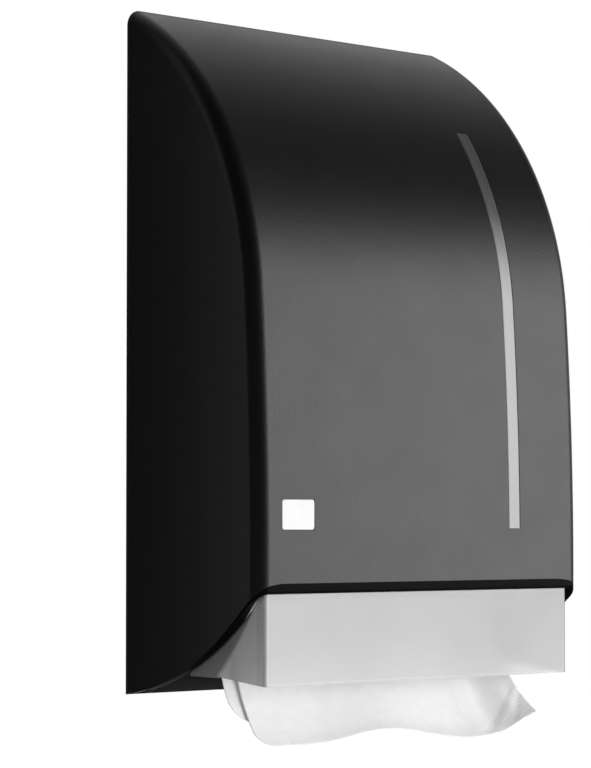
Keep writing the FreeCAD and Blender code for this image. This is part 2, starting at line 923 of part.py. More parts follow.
def make_guard_screws():
    screws = []
    face = GUARD_FRONT - named("guard_head_height")
    for across, level in GUARD_SCREWS:
        screws.append(screw((across, -face, level), "y", named("guard_screw_grip"),
                            named("guard_head_height")))
    return gathered("guard_screws", screws)


# Lock: a housing in the cover's right side, a plug that turns in it and a cam on the plug

bezel_face = half_width + named("bezel_wall")
barrel_end = half_width - named("barrel_length")


def lock_place(at):
    return (at, -named("lock_depth"), named("lock_height"))


def make_housing():
    bezel = cylinder("bezel", named("bezel_diameter") / 2, named("bezel_wall"), lock_place(half_width), "x")
    barrel = cylinder("barrel", named("barrel_diameter") / 2, named("barrel_length"),
                      lock_place(barrel_end), "x")
    bore = cylinder("bore", named("plug_diameter") / 2 + named("running_gap"),
                    named("barrel_length") + named("bezel_wall"), lock_place(barrel_end), "x")
    item = cut("lock_housing", joined("housing_solid", [barrel, bezel]), bore)
    item.Label = "lock_housing"
    return item


def make_nut():
    outer = doc.addObject("Part::Prism", "nut_solid")
    outer.Polygon = 6
    bind(outer, "Circumradius", named("nut_across") / math.sqrt(3))
    bind(outer, "Height", named("nut_wall"))
    put(outer, lock_place(inner_half - named("nut_wall")), "x")
    bore = cylinder("nut_bore", named("barrel_diameter") / 2, named("nut_wall"),
                    lock_place(inner_half - named("nut_wall")), "x")
    item = cut("lock_nut", outer, bore)
    item.Label = "lock_nut"
    return item


cam_outer = barrel_end - named("side_play")
cam_inner = cam_outer - named("cam_wall")


def make_plug():
    length = bezel_face - cam_outer
    core = cylinder("plug_core", named("plug_diameter") / 2, length, lock_place(cam_outer), "x")
    square = named("cam_square")
    tang = block("plug_tang", named("cam_wall"), square, square,
                 (cam_inner, -named("lock_depth") - square / 2, named("lock_height") - square / 2))
    solid = joined("plug_solid", [core, tang])
    slot = block("key_slot", named("key_slot_deep"), named("key_slot_width"), named("key_slot_height"),
                 (bezel_face - named("key_slot_deep"), -named("lock_depth") - named("key_slot_width") / 2,
                  named("lock_height") - named("key_slot_height") / 2))
    tapped = cylinder("plug_thread", named("cam_screw_shank") / 2, named("cam_screw_length"),
                      lock_place(cam_inner), "x")
    item = cut("lock_plug", cut("plug_slotted", solid, slot), tapped)
    item.Label = "lock_plug"
    return item


def make_cam():
    """A flat lever with a round hub. At rest it points back to the wall, and the cover is free."""
    body = new_body("lock_cam")
    sketch = new_sketch(body, "YZ_Plane", cam_inner)
    half = named("cam_width") / 2
    centre_y = -named("lock_depth")
    level = named("lock_height")
    hub = named("cam_hub")
    waist = root(hub * hub - half * half)
    tip = centre_y + named("cam_reach")
    points = [(centre_y + waist, level - half), (tip - half, level - half), (tip, level),
              (tip - half, level + half), (centre_y + waist, level + half), (centre_y - hub, level)]
    outline(sketch, points, {1: (half, 1), 2: (half, 1), 4: (hub, 1), 5: (hub, 1)})
    pad(body, sketch, named("cam_wall"))
    hole = new_sketch(body, "YZ_Plane", cam_inner)
    square = named("cam_square") / 2
    rectangle(hole, (centre_y - square, level - square), (centre_y + square, level + square))
    pocket(body, hole, named("cam_wall"), reverse=True)
    return body


def make_cam_screw():
    head = cylinder("cam_screw_head", named("cam_screw_head") / 2, named("cam_screw_head_height"),
                    lock_place(cam_inner - named("cam_screw_head_height")), "x")
    shank = cylinder("cam_screw_shank", named("cam_screw_shank") / 2, named("cam_screw_length"),
                     lock_place(cam_inner), "x")
    slot = block("cam_screw_slot", named("screw_recess"), named("cam_screw_head"), named("screw_recess"),
                 (cam_inner - named("cam_screw_head_height"),
                  -named("lock_depth") - named("cam_screw_head") / 2,
                  named("lock_height") - named("screw_recess") / 2))
    item = cut("cam_screw", joined("cam_screw_solid", [head, shank]), slot)
    item.Label = "cam_screw"
    return item


CATCH_FACE = named("lock_depth") + named("cam_width") / 2 + named("catch_gap")
catch_bottom = named("lock_height") + named("cam_reach") - named("catch_overlap")
CATCH_SCREW_DEPTH = CATCH_FACE + named("catch_base") / 2
CATCH_SCREW_SHARES = (0.25, 0.75)
CATCH_SCREW_LEVELS = [catch_bottom + named("catch_tall") * share for share in CATCH_SCREW_SHARES]


def make_catch():
    """An angle on the right cheek. The cam turns up behind its lip."""
    body = new_body("lock_catch")
    outer = magazine + named("cheek_wall")
    sketch = new_sketch(body, "XY_Plane", catch_bottom)
    thick = named("catch_wall")
    base_end = -(CATCH_FACE + named("catch_base"))
    lip_end = outer + named("catch_reach")
    lip_face = -(CATCH_FACE + thick)
    points = [(outer, -CATCH_FACE), (outer, base_end), (outer + thick, base_end), (outer + thick, lip_face),
              (lip_end, lip_face), (lip_end, -CATCH_FACE)]
    outline(sketch, points)
    pad(body, sketch, named("catch_tall"))
    for level in CATCH_SCREW_LEVELS:
        hole = new_sketch(body, "YZ_Plane", outer)
        circle(hole, (-CATCH_SCREW_DEPTH, level), named("screw_shank") / 2)
        pocket(body, hole, thick, reverse=True)
    return body


def make_catch_screws():
    screws = []
    outer = magazine + named("cheek_wall") + named("catch_wall")
    for level in CATCH_SCREW_LEVELS:
        screws.append(screw((outer, -CATCH_SCREW_DEPTH, level), "-x",
                            named("catch_wall") + named("cheek_wall"), named("screw_head_height")))
    return gathered("catch_screws", screws)


# Towels

def make_pile():
    """The pile of folded towels that fills the magazine."""
    body = new_body("towel_pile")
    sketch = new_sketch(body, "YZ_Plane")
    low = shelf_top + named("rest_gap")
    back = named("pile_back")
    rectangle(sketch, (-(back + named("towel_fold")), low), (-back, low + named("pile_height")))
    pad(body, sketch, towel_width, symmetric=True)

    def fold_edge(edge):
        box = edge.BoundBox
        return near(box.YMin, box.YMax) and near(box.ZMin, box.ZMax)

    fillet(body, named("pile_round"), fold_edge)
    return body


# Lower edge of the hanging towel, from left to right: share of the width, of the reach and of the drop
TOWEL_EDGE_SHARES = [
    (-0.5, 0.775, 1.12), (-0.3, 0.85, 1.08), (-0.06, 0.95, 0.88),
    (0.16, 1.05, 1.08), (0.34, 1.1, 1.04), (0.5, 1.275, 0.6),
]
# The towel's back panel hangs closer to the wall and a little higher
PANEL_EDGE_SHARES = [
    (-0.5, 0.8, 1.1), (-0.3, 0.87, 1.0), (-0.06, 0.98, 0.85),
    (0.16, 1.06, 1.0), (0.34, 1.13, 1.0), (0.5, 1.28, 0.65),
]


def make_sheet(label, breadth, centre, start, reach, drop, edge):
    """A hanging towel: its section bends forward from the outlet, and its lower edge waves."""
    sections = []
    radius = named("sheet_radius")
    thick = named("sheet_wall")
    top = shelf_top - named("sheet_top_gap")
    for across, forward, down in edge:
        sketch = doc.addObject("Sketcher::SketchObject", label + "_section")
        sketch.Placement.Rotation = FreeCAD.Rotation(FreeCAD.Vector(1, 1, 1), 120)
        bind(sketch, "Placement.Base.x", centre + breadth * across)
        edge_depth = start + reach * forward
        edge_height = -drop * down
        points = [(-start, top), (-edge_depth, edge_height), (-(edge_depth + thick), edge_height),
                  (-(start + thick), top)]
        outline(sketch, points, {0: (radius + thick, -1), 2: (radius, 1)})
        sections.append(sketch)
    item = doc.addObject("Part::Loft", label)
    item.Label = label
    item.Sections = sections
    item.Solid = True
    item.Ruled = False
    return item


def make_leading_towel():
    return make_sheet("leading_towel", towel_width, Size.of(0), named("sheet_top_depth"),
                      named("sheet_reach"), named("sheet_drop"), TOWEL_EDGE_SHARES)


def make_back_panel():
    """The towel's own back panel, which stands out at the left behind the front one."""
    start = named("sheet_top_depth") - named("sheet_wall") - named("panel_gap")
    breadth = towel_width + named("panel_past") - named("panel_short")
    centre = -(named("panel_past") + named("panel_short")) / 2
    return make_sheet("towel_back_panel", breadth, centre, start,
                      named("panel_reach"), named("panel_drop"), PANEL_EDGE_SHARES)


PIECES = [
    make_plate(),
    make_cheek("left_cheek", -1),
    make_cheek("right_cheek", 1),
    make_rear_shelf(),
    make_front_shelf(),
    make_guard(),
    make_cheek_screws(),
    make_shelf_screws(),
    make_guard_screws(),
    make_catch(),
    make_catch_screws(),
    make_pile(),
    make_leading_towel(),
    make_back_panel(),
    make_cover(),
    make_rim(),
    make_window(),
    make_badge(),
    make_pins(),
    make_housing(),
    make_nut(),
    make_plug(),
    make_cam(),
    make_cam_screw(),
]


def check_model():
    doc.recompute()
    for item in doc.Objects:
        if "Invalid" in item.State or "Error" in item.State:
            raise ValueError("%s failed: %s" % (item.Label, item.State))
    for piece in PIECES:
        if piece.Shape.isNull() or not piece.Shape.isValid():
            raise ValueError("%s has no valid shape" % piece.Label)


def write_pieces():
    os.makedirs("parts", exist_ok=True)
    for piece in PIECES:
        piece.Shape.exportStep("parts/%s.step" % piece.Label)
        print("%-18s %2d solids %10.1f mm3" % (piece.Label, len(piece.Shape.Solids), piece.Shape.Volume))


for piece in PIECES:
    bind(piece, "Placement.Base.z", -height / 2)
check_model()
write_pieces()
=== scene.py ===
import bmesh
import bpy
import json
import math
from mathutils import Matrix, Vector
from mathutils.geometry import tessellate_polygon

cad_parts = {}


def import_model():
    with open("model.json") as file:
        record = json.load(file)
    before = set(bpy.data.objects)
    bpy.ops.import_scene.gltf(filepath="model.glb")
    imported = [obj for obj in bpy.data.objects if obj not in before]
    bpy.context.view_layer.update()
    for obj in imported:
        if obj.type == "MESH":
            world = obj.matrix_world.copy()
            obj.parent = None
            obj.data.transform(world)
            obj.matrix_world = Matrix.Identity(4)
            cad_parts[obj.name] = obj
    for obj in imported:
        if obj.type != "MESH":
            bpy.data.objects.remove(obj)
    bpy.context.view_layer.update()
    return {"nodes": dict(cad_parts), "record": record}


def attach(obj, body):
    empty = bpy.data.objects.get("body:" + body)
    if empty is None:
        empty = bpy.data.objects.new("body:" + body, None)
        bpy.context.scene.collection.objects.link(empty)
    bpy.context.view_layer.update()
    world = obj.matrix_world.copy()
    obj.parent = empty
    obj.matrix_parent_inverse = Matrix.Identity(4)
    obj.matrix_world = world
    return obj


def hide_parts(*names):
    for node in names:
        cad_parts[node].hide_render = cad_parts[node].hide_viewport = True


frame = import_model()
nodes = frame["nodes"]

# Pieces are drawn in millimetres: x across, d out from the wall, h above the casing's lowest edge,
# which lies this far from the frame's origin in metres
MM = 0.001
FOOT = -0.226


# Node helpers

# The span in which nearly all of a noise lies
NOISE_LOW, NOISE_HIGH = 0.3, 0.7


materials = {}


def new_material(name):
    material = bpy.data.materials.new(name)
    material.use_nodes = True
    materials[name] = material
    return material.node_tree, material.node_tree.nodes["Principled BSDF"]


def add(tree, kind, **values):
    """A new node. A value goes to the socket of its name, or else to the node's own setting."""
    node = tree.nodes.new(kind)
    for key, value in values.items():
        if key in node.inputs.keys():
            node.inputs[key].default_value = value
        else:
            setattr(node, key, value)
    return node


def position(tree):
    """Object coordinates. Every piece has its object at the frame's origin."""
    return add(tree, "ShaderNodeTexCoord").outputs["Object"]


def noise(tree, where, scale, detail=3.0, roughness=0.5):
    node = add(tree, "ShaderNodeTexNoise", Scale=scale, Detail=detail, Roughness=roughness)
    tree.links.new(where, node.inputs["Vector"])
    return node.outputs["Fac"]


def spread(tree, value, low, high, to_low, to_high):
    node = add(tree, "ShaderNodeMapRange")
    node.inputs["From Min"].default_value = low
    node.inputs["From Max"].default_value = high
    node.inputs["To Min"].default_value = to_low
    node.inputs["To Max"].default_value = to_high
    tree.links.new(value, node.inputs["Value"])
    return node.outputs["Result"]


def vary(tree, factor, low, high):
    """A value that follows a noise between two ends."""
    return spread(tree, factor, NOISE_LOW, NOISE_HIGH, low, high)


def past(tree, value, place, blur):
    """0 before a place and 1 beyond it, with a soft edge."""
    return spread(tree, value, place - blur, place + blur, 0.0, 1.0)


def before(tree, value, place, blur):
    """1 before a place and 0 beyond it, with a soft edge."""
    return spread(tree, value, place - blur, place + blur, 1.0, 0.0)


def ramp(tree, value, stops):
    """A colour ramp through (place, grey or colour) stops."""
    node = add(tree, "ShaderNodeValToRGB")
    elements = node.color_ramp.elements
    while len(elements) < len(stops):
        elements.new(0.5)
    for element, (place, colour) in zip(elements, stops):
        element.position = place
        grey = (colour, colour, colour) if isinstance(colour, float) else colour
        element.color = (*grey, 1)
    tree.links.new(value, node.inputs["Fac"])
    return node.outputs["Color"]


def maths(tree, operation, first, second):
    node = add(tree, "ShaderNodeMath", operation=operation)
    for socket, value in zip(node.inputs, (first, second)):
        if isinstance(value, (int, float)):
            socket.default_value = value
        else:
            tree.links.new(value, socket)
    return node.outputs["Value"]


def bump(tree, shader, height, distance, strength=1.0):
    node = add(tree, "ShaderNodeBump", Strength=strength, Distance=distance)
    tree.links.new(height, node.inputs["Height"])
    tree.links.new(node.outputs["Normal"], shader.inputs["Normal"])


def set_values(shader, **values):
    for key, value in values.items():
        shader.inputs[key.replace("_", " ")].default_value = value


# Materials

def cover_finish():
    """Satin charcoal moulding with a fine metallic fleck."""
    tree, shader = new_material("cover_finish")
    place = position(tree)
    fleck = noise(tree, place, 1500.0, roughness=0.7)
    cloud = noise(tree, place, 40.0)
    shades = [(0.38, (0.0028, 0.0028, 0.003)), (0.58, (0.0036, 0.0036, 0.0039)),
              (0.72, (0.012, 0.012, 0.0125))]
    tree.links.new(ramp(tree, fleck, shades), shader.inputs["Base Color"])
    satin = vary(tree, fleck, 0.34, 0.42)
    drift = vary(tree, cloud, -0.015, 0.015)
    tree.links.new(maths(tree, "ADD", satin, drift), shader.inputs["Roughness"])
    bump(tree, shader, noise(tree, place, 750.0, 4.0, 0.7), 0.12 * MM, 0.9)
    set_values(shader, IOR=1.55)


# Where the guard's look changes, in metres from the origin: to either side, out from the wall (-y)
# and in height (z)
WING_FACE = 0.1294
WING_STRIP_BACK = -0.1273
PANE_FACE = -0.1343
PANE_SIDE = 0.1278
PANE_LOW, PANE_HIGH = -0.2136, -0.16
WING_BLUR, PANE_BLUR, FACE_BLUR = 0.0003, 0.0002, 0.0001
# Darkening in the strip of each wing, and the painted light along the pane's border
STRIP_SHADE, BORDER_PAINTED_LIGHT = 0.84, 1.1


def frosted_plastic():
    """Frosted clear plastic, with painted light along the pane's border, and darker in a strip of each
    wing.
    """
    tree, shader = new_material("frosted_plastic")
    place = position(tree)
    cloud = noise(tree, place, 18.0)
    fine = noise(tree, place, 2200.0, 2.0)
    parts = add(tree, "ShaderNodeSeparateXYZ")
    tree.links.new(place, parts.inputs["Vector"])
    x, y, z = [parts.outputs[axis] for axis in "XYZ"]
    aside = maths(tree, "ABSOLUTE", x, 0.0)
    wing = past(tree, aside, WING_FACE, WING_BLUR)
    ahead = before(tree, y, WING_STRIP_BACK, WING_BLUR)
    strip = maths(tree, "MULTIPLY", wing, ahead)
    side = past(tree, aside, PANE_SIDE, PANE_BLUR)
    foot = before(tree, z, PANE_LOW, PANE_BLUR)
    top = past(tree, z, PANE_HIGH, PANE_BLUR)
    borders = maths(tree, "MAXIMUM", side, maths(tree, "MAXIMUM", foot, top))
    pane = before(tree, y, PANE_FACE, FACE_BLUR)
    # Darker in a strip of each wing, next to the pane's corner
    darker_strip = spread(tree, strip, 0.0, 1.0, 1.0, STRIP_SHADE)
    # Painted light: the colour is made paler along the pane's border, standing in for light gathering at
    # its edges
    painted_border_light = spread(tree, maths(tree, "MULTIPLY", borders, pane), 0.0, 1.0, 1.0, BORDER_PAINTED_LIGHT)
    shade = maths(tree, "MULTIPLY", vary(tree, cloud, 0.53, 0.56), maths(tree, "MULTIPLY", darker_strip, painted_border_light))
    tree.links.new(shade, shader.inputs["Base Color"])
    tree.links.new(vary(tree, cloud, 0.14, 0.18), shader.inputs["Roughness"])
    bump(tree, shader, fine, 0.02 * MM, 0.5)
    set_values(shader, IOR=1.49, Transmission_Weight=0.58)


def paper():
    """White tissue with a fibrous grain."""
    tree, shader = new_material("paper")
    place = position(tree)
    fibre = noise(tree, place, 1100.0, 4.0, 0.6)
    cloud = noise(tree, place, 120.0)
    white = ramp(tree, cloud, [(NOISE_LOW, 0.84), (NOISE_HIGH, 0.88)])
    tree.links.new(white, shader.inputs["Base Color"])
    tree.links.new(vary(tree, fibre, 0.8, 0.95), shader.inputs["Roughness"])
    bump(tree, shader, fibre, 0.06 * MM, 0.6)
    set_values(shader, Sheen_Weight=0.1)


def plain_finish(name, clouds, colours, gloss, grain, depth, strength=0.5, cloud_detail=3.0,
                 grain_detail=2.0, **values):
    """A finish whose colour and roughness drift in soft clouds, with a fine grain in its surface."""
    tree, shader = new_material(name)
    place = position(tree)
    cloud = noise(tree, place, clouds, cloud_detail)
    stops = list(zip((NOISE_LOW, NOISE_HIGH), colours))
    tree.links.new(ramp(tree, cloud, stops), shader.inputs["Base Color"])
    tree.links.new(vary(tree, cloud, *gloss), shader.inputs["Roughness"])
    bump(tree, shader, noise(tree, place, grain, grain_detail), depth, strength)
    set_values(shader, **values)


cover_finish()
plain_finish("black_plastic", clouds=30.0, colours=(0.008, 0.0115), gloss=(0.42, 0.5), grain=1800.0,
             depth=0.03 * MM, strength=0.7, grain_detail=3.0, IOR=1.5)
# Black of the trim and its underside, with almost no gloss. Its colour, darker than the moulded parts, is
# partly painted shade where the trim lies in shadow
plain_finish("trim_black_painted_shade", clouds=45.0, colours=(0.001, 0.0018), gloss=(0.4, 0.48), grain=1700.0,
             depth=0.03 * MM, strength=0.6, grain_detail=3.0, Specular_IOR_Level=0.035)
frosted_plastic()
# Grey see-through copy of the frosted plastic for the webs behind the wings, darkened as painted shade
# for the shadow inside the casing there
plain_finish("frosted_painted_shade", clouds=40.0, colours=(0.14, 0.18), gloss=(0.3, 0.38), grain=1500.0,
             depth=0.02 * MM, IOR=1.49, Transmission_Weight=0.15)
plain_finish("window_plastic", clouds=60.0, colours=(0.2, 0.235), gloss=(0.36, 0.42), grain=2400.0,
             depth=0.01 * MM, IOR=1.5, Metallic=0.85)
plain_finish("badge_finish", clouds=90.0, colours=(0.63, 0.69), gloss=(0.3, 0.38), grain=1900.0,
             depth=0.01 * MM)
plain_finish("zinc_steel", clouds=350.0, colours=((0.5, 0.51, 0.53), (0.6, 0.61, 0.62)),
             gloss=(0.26, 0.4), grain=1600.0, depth=0.01 * MM, cloud_detail=4.0, Metallic=1.0)
plain_finish("lock_chrome", clouds=200.0, colours=(0.64, 0.7), gloss=(0.14, 0.22), grain=1200.0,
             depth=0.005 * MM, Metallic=1.0)
paper()

for part in frame["record"]["subparts"]:
    mesh = nodes[part["node"]].data
    mesh.materials.clear()
    mesh.materials.append(materials[part["material_slot"]])


# Drawing

class Sketch:
    """Gathers points and faces. A face may give its corners' normals, for exact smooth shading."""

    def __init__(self):
        self.points = []
        self.places = {}
        self.faces = []
        self.normals = []

    def point(self, x, d, h):
        key = (round(x, 4), round(d, 4), round(h, 4))
        if key not in self.places:
            self.places[key] = len(self.points)
            self.points.append((x * MM, -d * MM, h * MM + FOOT))
        return self.places[key]

    def row(self, spots):
        return [self.point(*spot) for spot in spots]

    def face(self, corners, normals=None):
        kept = [n for n, corner in enumerate(corners) if corner != corners[n - 1]]
        if len(kept) < 3:
            return
        self.faces.append([corners[n] for n in kept])
        self.normals.append([normals[n] for n in kept] if normals else None)

    def strip(self, first, second, normals=None):
        """Quads between two rows of points."""
        for n in range(len(first) - 1):
            corners = [first[n], first[n + 1], second[n + 1], second[n]]
            facing = None
            if normals:
                facing = [normals[0][n], normals[0][n + 1], normals[1][n + 1], normals[1][n]]
            self.face(corners, facing)

    def skin(self, rows):
        """An open skin through rows of points."""
        for first, second in zip(rows, rows[1:]):
            self.strip(first, second)

    def loft(self, loops):
        """A closed skin through loops of points, capped at both ends."""
        self.skin([loop + loop[:1] for loop in loops])
        self.face(loops[0])
        self.face(loops[-1])

    def mesh(self, name):
        mesh = bpy.data.meshes.new(name)
        mesh.from_pydata(self.points, [], self.faces)
        work = bmesh.new()
        work.from_mesh(mesh)
        bmesh.ops.recalc_face_normals(work, faces=work.faces)
        work.to_mesh(mesh)
        work.free()
        return mesh

    def piece(self, name, body, slot, stands_for=(), sharp=None, finish=None):
        """The finished piece. Edges sharper than sharp, in degrees, stay crisp."""
        mesh = self.mesh(name)
        if sharp is not None:
            mesh.shade_smooth()
            mesh.set_sharp_from_angle(angle=math.radians(sharp))
        elif any(self.normals):
            table = []
            for polygon, corners, normals in zip(mesh.polygons, self.faces, self.normals):
                polygon.use_smooth = normals is not None
                own = dict(zip(corners, normals)) if normals else {}
                table += [own.get(vertex, (0, 0, 0)) for vertex in polygon.vertices]
            mesh.normals_split_custom_set(table)
        item = in_scene(name, mesh)
        mesh.materials.append(materials[finish or slot])
        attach(item, body)
        for node in stands_for:
            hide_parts(node)
        return item


def in_scene(name, data):
    item = bpy.data.objects.new(name, data)
    bpy.context.scene.collection.objects.link(item)
    return item


def modify(item, kind, **values):
    modifier = item.modifiers.new(kind.lower(), kind)
    for key, value in values.items():
        setattr(modifier, key, value)
    return modifier


def steps(low, high, count):
    return [low + (high - low) * n / count for n in range(count + 1)]


def limited(share):
    return min(1.0, max(0.0, share))


def eased(share):
    """A share from 0 to 1 that starts and stops gently."""
    return share * share * (3 - 2 * share)


def ring(across, up, radius, count):
    turns = [2 * math.pi * n / count for n in range(count)]
    return [(across + radius * math.cos(turn), up + radius * math.sin(turn)) for turn in turns]


def rounded(corners, radii):
    """A loop whose corners are eased over the given radii, five points each."""
    spots = []
    for n, radius in enumerate(radii):
        here = Vector(corners[n])
        sides = [Vector(corners[n - 1]) - here, Vector(corners[(n + 1) % len(corners)]) - here]
        ends = [here + side.normalized() * min(radius, 0.45 * side.length) for side in sides]
        for t in steps(0, 1, 4):
            spots.append(ends[0] * (1 - t) ** 2 + here * 2 * t * (1 - t) + ends[1] * t ** 2)
    return spots


def with_mirror(stations):
    """Stations from the left edge to the middle, followed by their mirror image."""
    return stations + [[(-x, d, h) for x, d, h in station] for station in reversed(stations)]


# Casing: its profile is a front arc that runs on into a crown arc

HALF = 140.0
RIDGE = 10.0
WALL = 2.5
FRONT_D, FRONT_H, FRONT_R = -2166.5, 92.0, 2306.0
CROWN_R = 234.0
TOP = 452.0
BACK_EDGE = 3.0
PIVOT_D, PIVOT_H = 9.5, 7.0
BAND = 5.15
RIM_BACK = 22.0


def crown_centre():
    across = -FRONT_D
    rise = TOP - FRONT_H
    span = math.hypot(across, rise)
    inner = FRONT_R - CROWN_R
    along = (inner ** 2 - CROWN_R ** 2 + span ** 2) / (2 * span)
    off = math.sqrt(inner ** 2 - along ** 2)
    return (across * along + rise * off) / span - across, (rise * along - across * off) / span + FRONT_H


CROWN_D, CROWN_H = crown_centre()
JOIN = math.atan2(CROWN_H - FRONT_H, CROWN_D - FRONT_D)


def front_depth(h, inset=0.0):
    return FRONT_D + math.sqrt((FRONT_R - inset) ** 2 - (h - FRONT_H) ** 2)


def profile(angle, inset):
    """Point of the profile at an angle, moved in by the inset."""
    if angle <= JOIN:
        reach = FRONT_R - inset
        return FRONT_D + reach * math.cos(angle), FRONT_H + reach * math.sin(angle)
    reach = CROWN_R - inset
    return CROWN_D + reach * math.cos(angle), CROWN_H + reach * math.sin(angle)


def front_angle(h):
    return math.asin((h - FRONT_H) / FRONT_R)


def crown_angle(h):
    return math.asin((h - CROWN_H) / CROWN_R)


# Lower edge of the casing: an arc from the wall that ends in a straight rise to the front

LIP_SLOPE = math.radians(37.6)
LIP_RUN = 35.7
LIP_FRONT_H = 68.1
LIP_D = front_depth(LIP_FRONT_H) - LIP_RUN * math.cos(LIP_SLOPE)
LIP_H = LIP_FRONT_H - LIP_RUN * math.sin(LIP_SLOPE)
LIP_R = (LIP_D ** 2 + LIP_H ** 2) / (2 * (LIP_D * math.sin(LIP_SLOPE) - LIP_H * math.cos(LIP_SLOPE)))
LIP_CENTRE_D = LIP_D - LIP_R * math.sin(LIP_SLOPE)
LIP_CENTRE_H = LIP_H + LIP_R * math.cos(LIP_SLOPE)


def lower(d, band):
    """Height of the lower edge at a depth, moved up by the band."""
    corner = LIP_D - band * math.sin(LIP_SLOPE)
    if d > corner:
        return LIP_H + band * math.cos(LIP_SLOPE) + (d - corner) * math.tan(LIP_SLOPE)
    return LIP_CENTRE_H - math.sqrt((LIP_R - band) ** 2 - (d - LIP_CENTRE_D) ** 2)


def foot_of_front(inset, band):
    """Where the front, moved in by the inset, ends at the lower edge."""
    h = LIP_FRONT_H
    for _ in range(8):
        h = lower(front_depth(h, inset), band)
    return front_depth(h, inset), h


# Depth at which the sides' lower edge reaches the ridge
RIDGE_FOOT_D = foot_of_front(RIDGE, 0.0)[0]

# Height of the trim that shows, by the distance along the casing's outline from where the ridge starts
TRIM_SHOWN = [(-45.0, 0.2), (-12.0, 1.3), (0.0, 2.0), (8.0, 2.4), (15.7, 4.1), (25.0, BAND)]


def shown_band(run):
    if run <= TRIM_SHOWN[0][0]:
        return TRIM_SHOWN[0][1]
    for (start, low), (stop, high) in zip(TRIM_SHOWN, TRIM_SHOWN[1:]):
        if run <= stop:
            return low + (high - low) * (run - start) / (stop - start)
    return BAND


def outline_run(x, turned):
    """Distance along the outline at a column of the cover, from the start of its ridge."""
    beyond = max(0.0, HALF - RIDGE - abs(x))
    return RIDGE * turned + beyond


# Cover

WINDOW_X, WINDOW_HALF = 78.8, 5.35
WINDOW_LOW, WINDOW_HIGH = 108.6, 380.0
BADGE_X, BADGE_H = -107.5, 117.5
BADGE_HALF_X, BADGE_HALF_H = 13.35, 9.85
BADGE_SEAT = front_depth(BADGE_H) - 0.6
LOCK_D, LOCK_H, LOCK_R = 42.0, 300.0, 8.1
HINGE_BOSS_R, HINGE_BORE_R, HINGE_BOSS_LENGTH = 5.0, 2.5, 4.5

# Columns of points across the front and heights of its rows, beside the edges of window and badge
COLUMNS = [-126.0, -123.0, -80.0, -60.0, -40.0, -20.0, 0.0, 20.0, 40.0, 60.0, 100.0, 115.0, 123.0, 126.0]
FRONT_LEVELS = [79.0, 90.0, 100.0, BADGE_H - BADGE_HALF_H, WINDOW_LOW, 118.0, BADGE_H + BADGE_HALF_H,
                150.0, 175.0, 200.0, 225.0, 245.0]
CROWN_END = math.radians(61.5)
ROWS = ([front_angle(h) for h in FRONT_LEVELS]
        + steps(JOIN, crown_angle(WINDOW_HIGH), 28)
        + steps(crown_angle(WINDOW_HIGH), CROWN_END, 20)[1:])


def cover_columns(radius):
    """(x, inset, sideways share, forward share) across the cover: ridge, front and ridge."""
    left = []
    for angle in steps(90, 0, 12):
        side, ahead = math.sin(math.radians(angle)), math.cos(math.radians(angle))
        left.append((-(HALF - RIDGE + radius * side), RIDGE - radius * ahead, -side, ahead))
    right = [(-x, inset, -side, ahead) for x, inset, side, ahead in reversed(left)]
    breaks = [BADGE_X - BADGE_HALF_X, BADGE_X + BADGE_HALF_X,
              WINDOW_X - WINDOW_HALF, WINDOW_X + WINDOW_HALF]
    return left + [(x, RIDGE - radius, 0.0, 1.0) for x in sorted(breaks + COLUMNS)] + right


def cover_rows(inset, band=BAND):
    """(angle, d, h) up the profile, from the lower trim to the cover's back edge."""
    d, h = foot_of_front(inset, band)
    last = math.acos((BACK_EDGE - CROWN_D) / (CROWN_R - inset))
    rows = [(math.asin((h - FRONT_H) / (FRONT_R - inset)), d, h)]
    rows += [(angle, *profile(angle, inset)) for angle in ROWS]
    return rows + [(last, *profile(last, inset))]


def cover_grid(sketch, radius, outward):
    """One face of the front and crown. Gives its points and their facing by column and row."""
    points, facing = [], []
    for x, inset, side, ahead in cover_columns(radius):
        rows = cover_rows(inset, shown_band(outline_run(x, math.acos(abs(side)))))
        points.append([sketch.point(x, d, h) for _, d, h in rows])
        facing.append([(side * outward, -ahead * math.cos(angle) * outward,
                        ahead * math.sin(angle) * outward) for angle, _, _ in rows])
    return points, facing


def number_of(values, wanted):
    return min(range(len(values)), key=lambda n: abs(values[n] - wanted))


def side_outline():
    """Free edge of a side, from the top of its back edge down and forward to the front's foot."""
    points = [(BACK_EDGE, cover_rows(RIDGE)[-1][2]), (BACK_EDGE, 300.0), (BACK_EDGE, 150.0)]
    # The lower back corner is round about the hinge, as far as the lower edge
    turn = PIVOT_D - BACK_EDGE
    low, high = math.pi, math.pi * 1.5
    for _ in range(40):
        middle = (low + high) / 2
        d, h = PIVOT_D + turn * math.cos(middle), PIVOT_H + turn * math.sin(middle)
        low, high = (middle, high) if h > lower(d, 0.0) else (low, middle)
    for angle in steps(math.pi, low, 8):
        points.append((PIVOT_D + turn * math.cos(angle), PIVOT_H + turn * math.sin(angle)))
    points += [(d, lower(d, 0.0)) for d in steps(points[-1][0], RIM_BACK, 4)[1:-1]]
    trimmed = steps(RIM_BACK, RIDGE_FOOT_D, 40)[:-1]
    return points + [(d, lower(d, shown_band(d - RIDGE_FOOT_D))) for d in trimmed]


def flat_face(sketch, x, loops, facing):
    """A flat face at one x inside the first loop and outside the others."""
    flat = [[Vector((d, h, 0)) for d, h in loop] for loop in loops]
    numbers = [sketch.point(x, d, h) for loop in loops for d, h in loop]
    for triple in tessellate_polygon(flat):
        sketch.face([numbers[n] for n in triple], [(facing, 0, 0)] * 3)


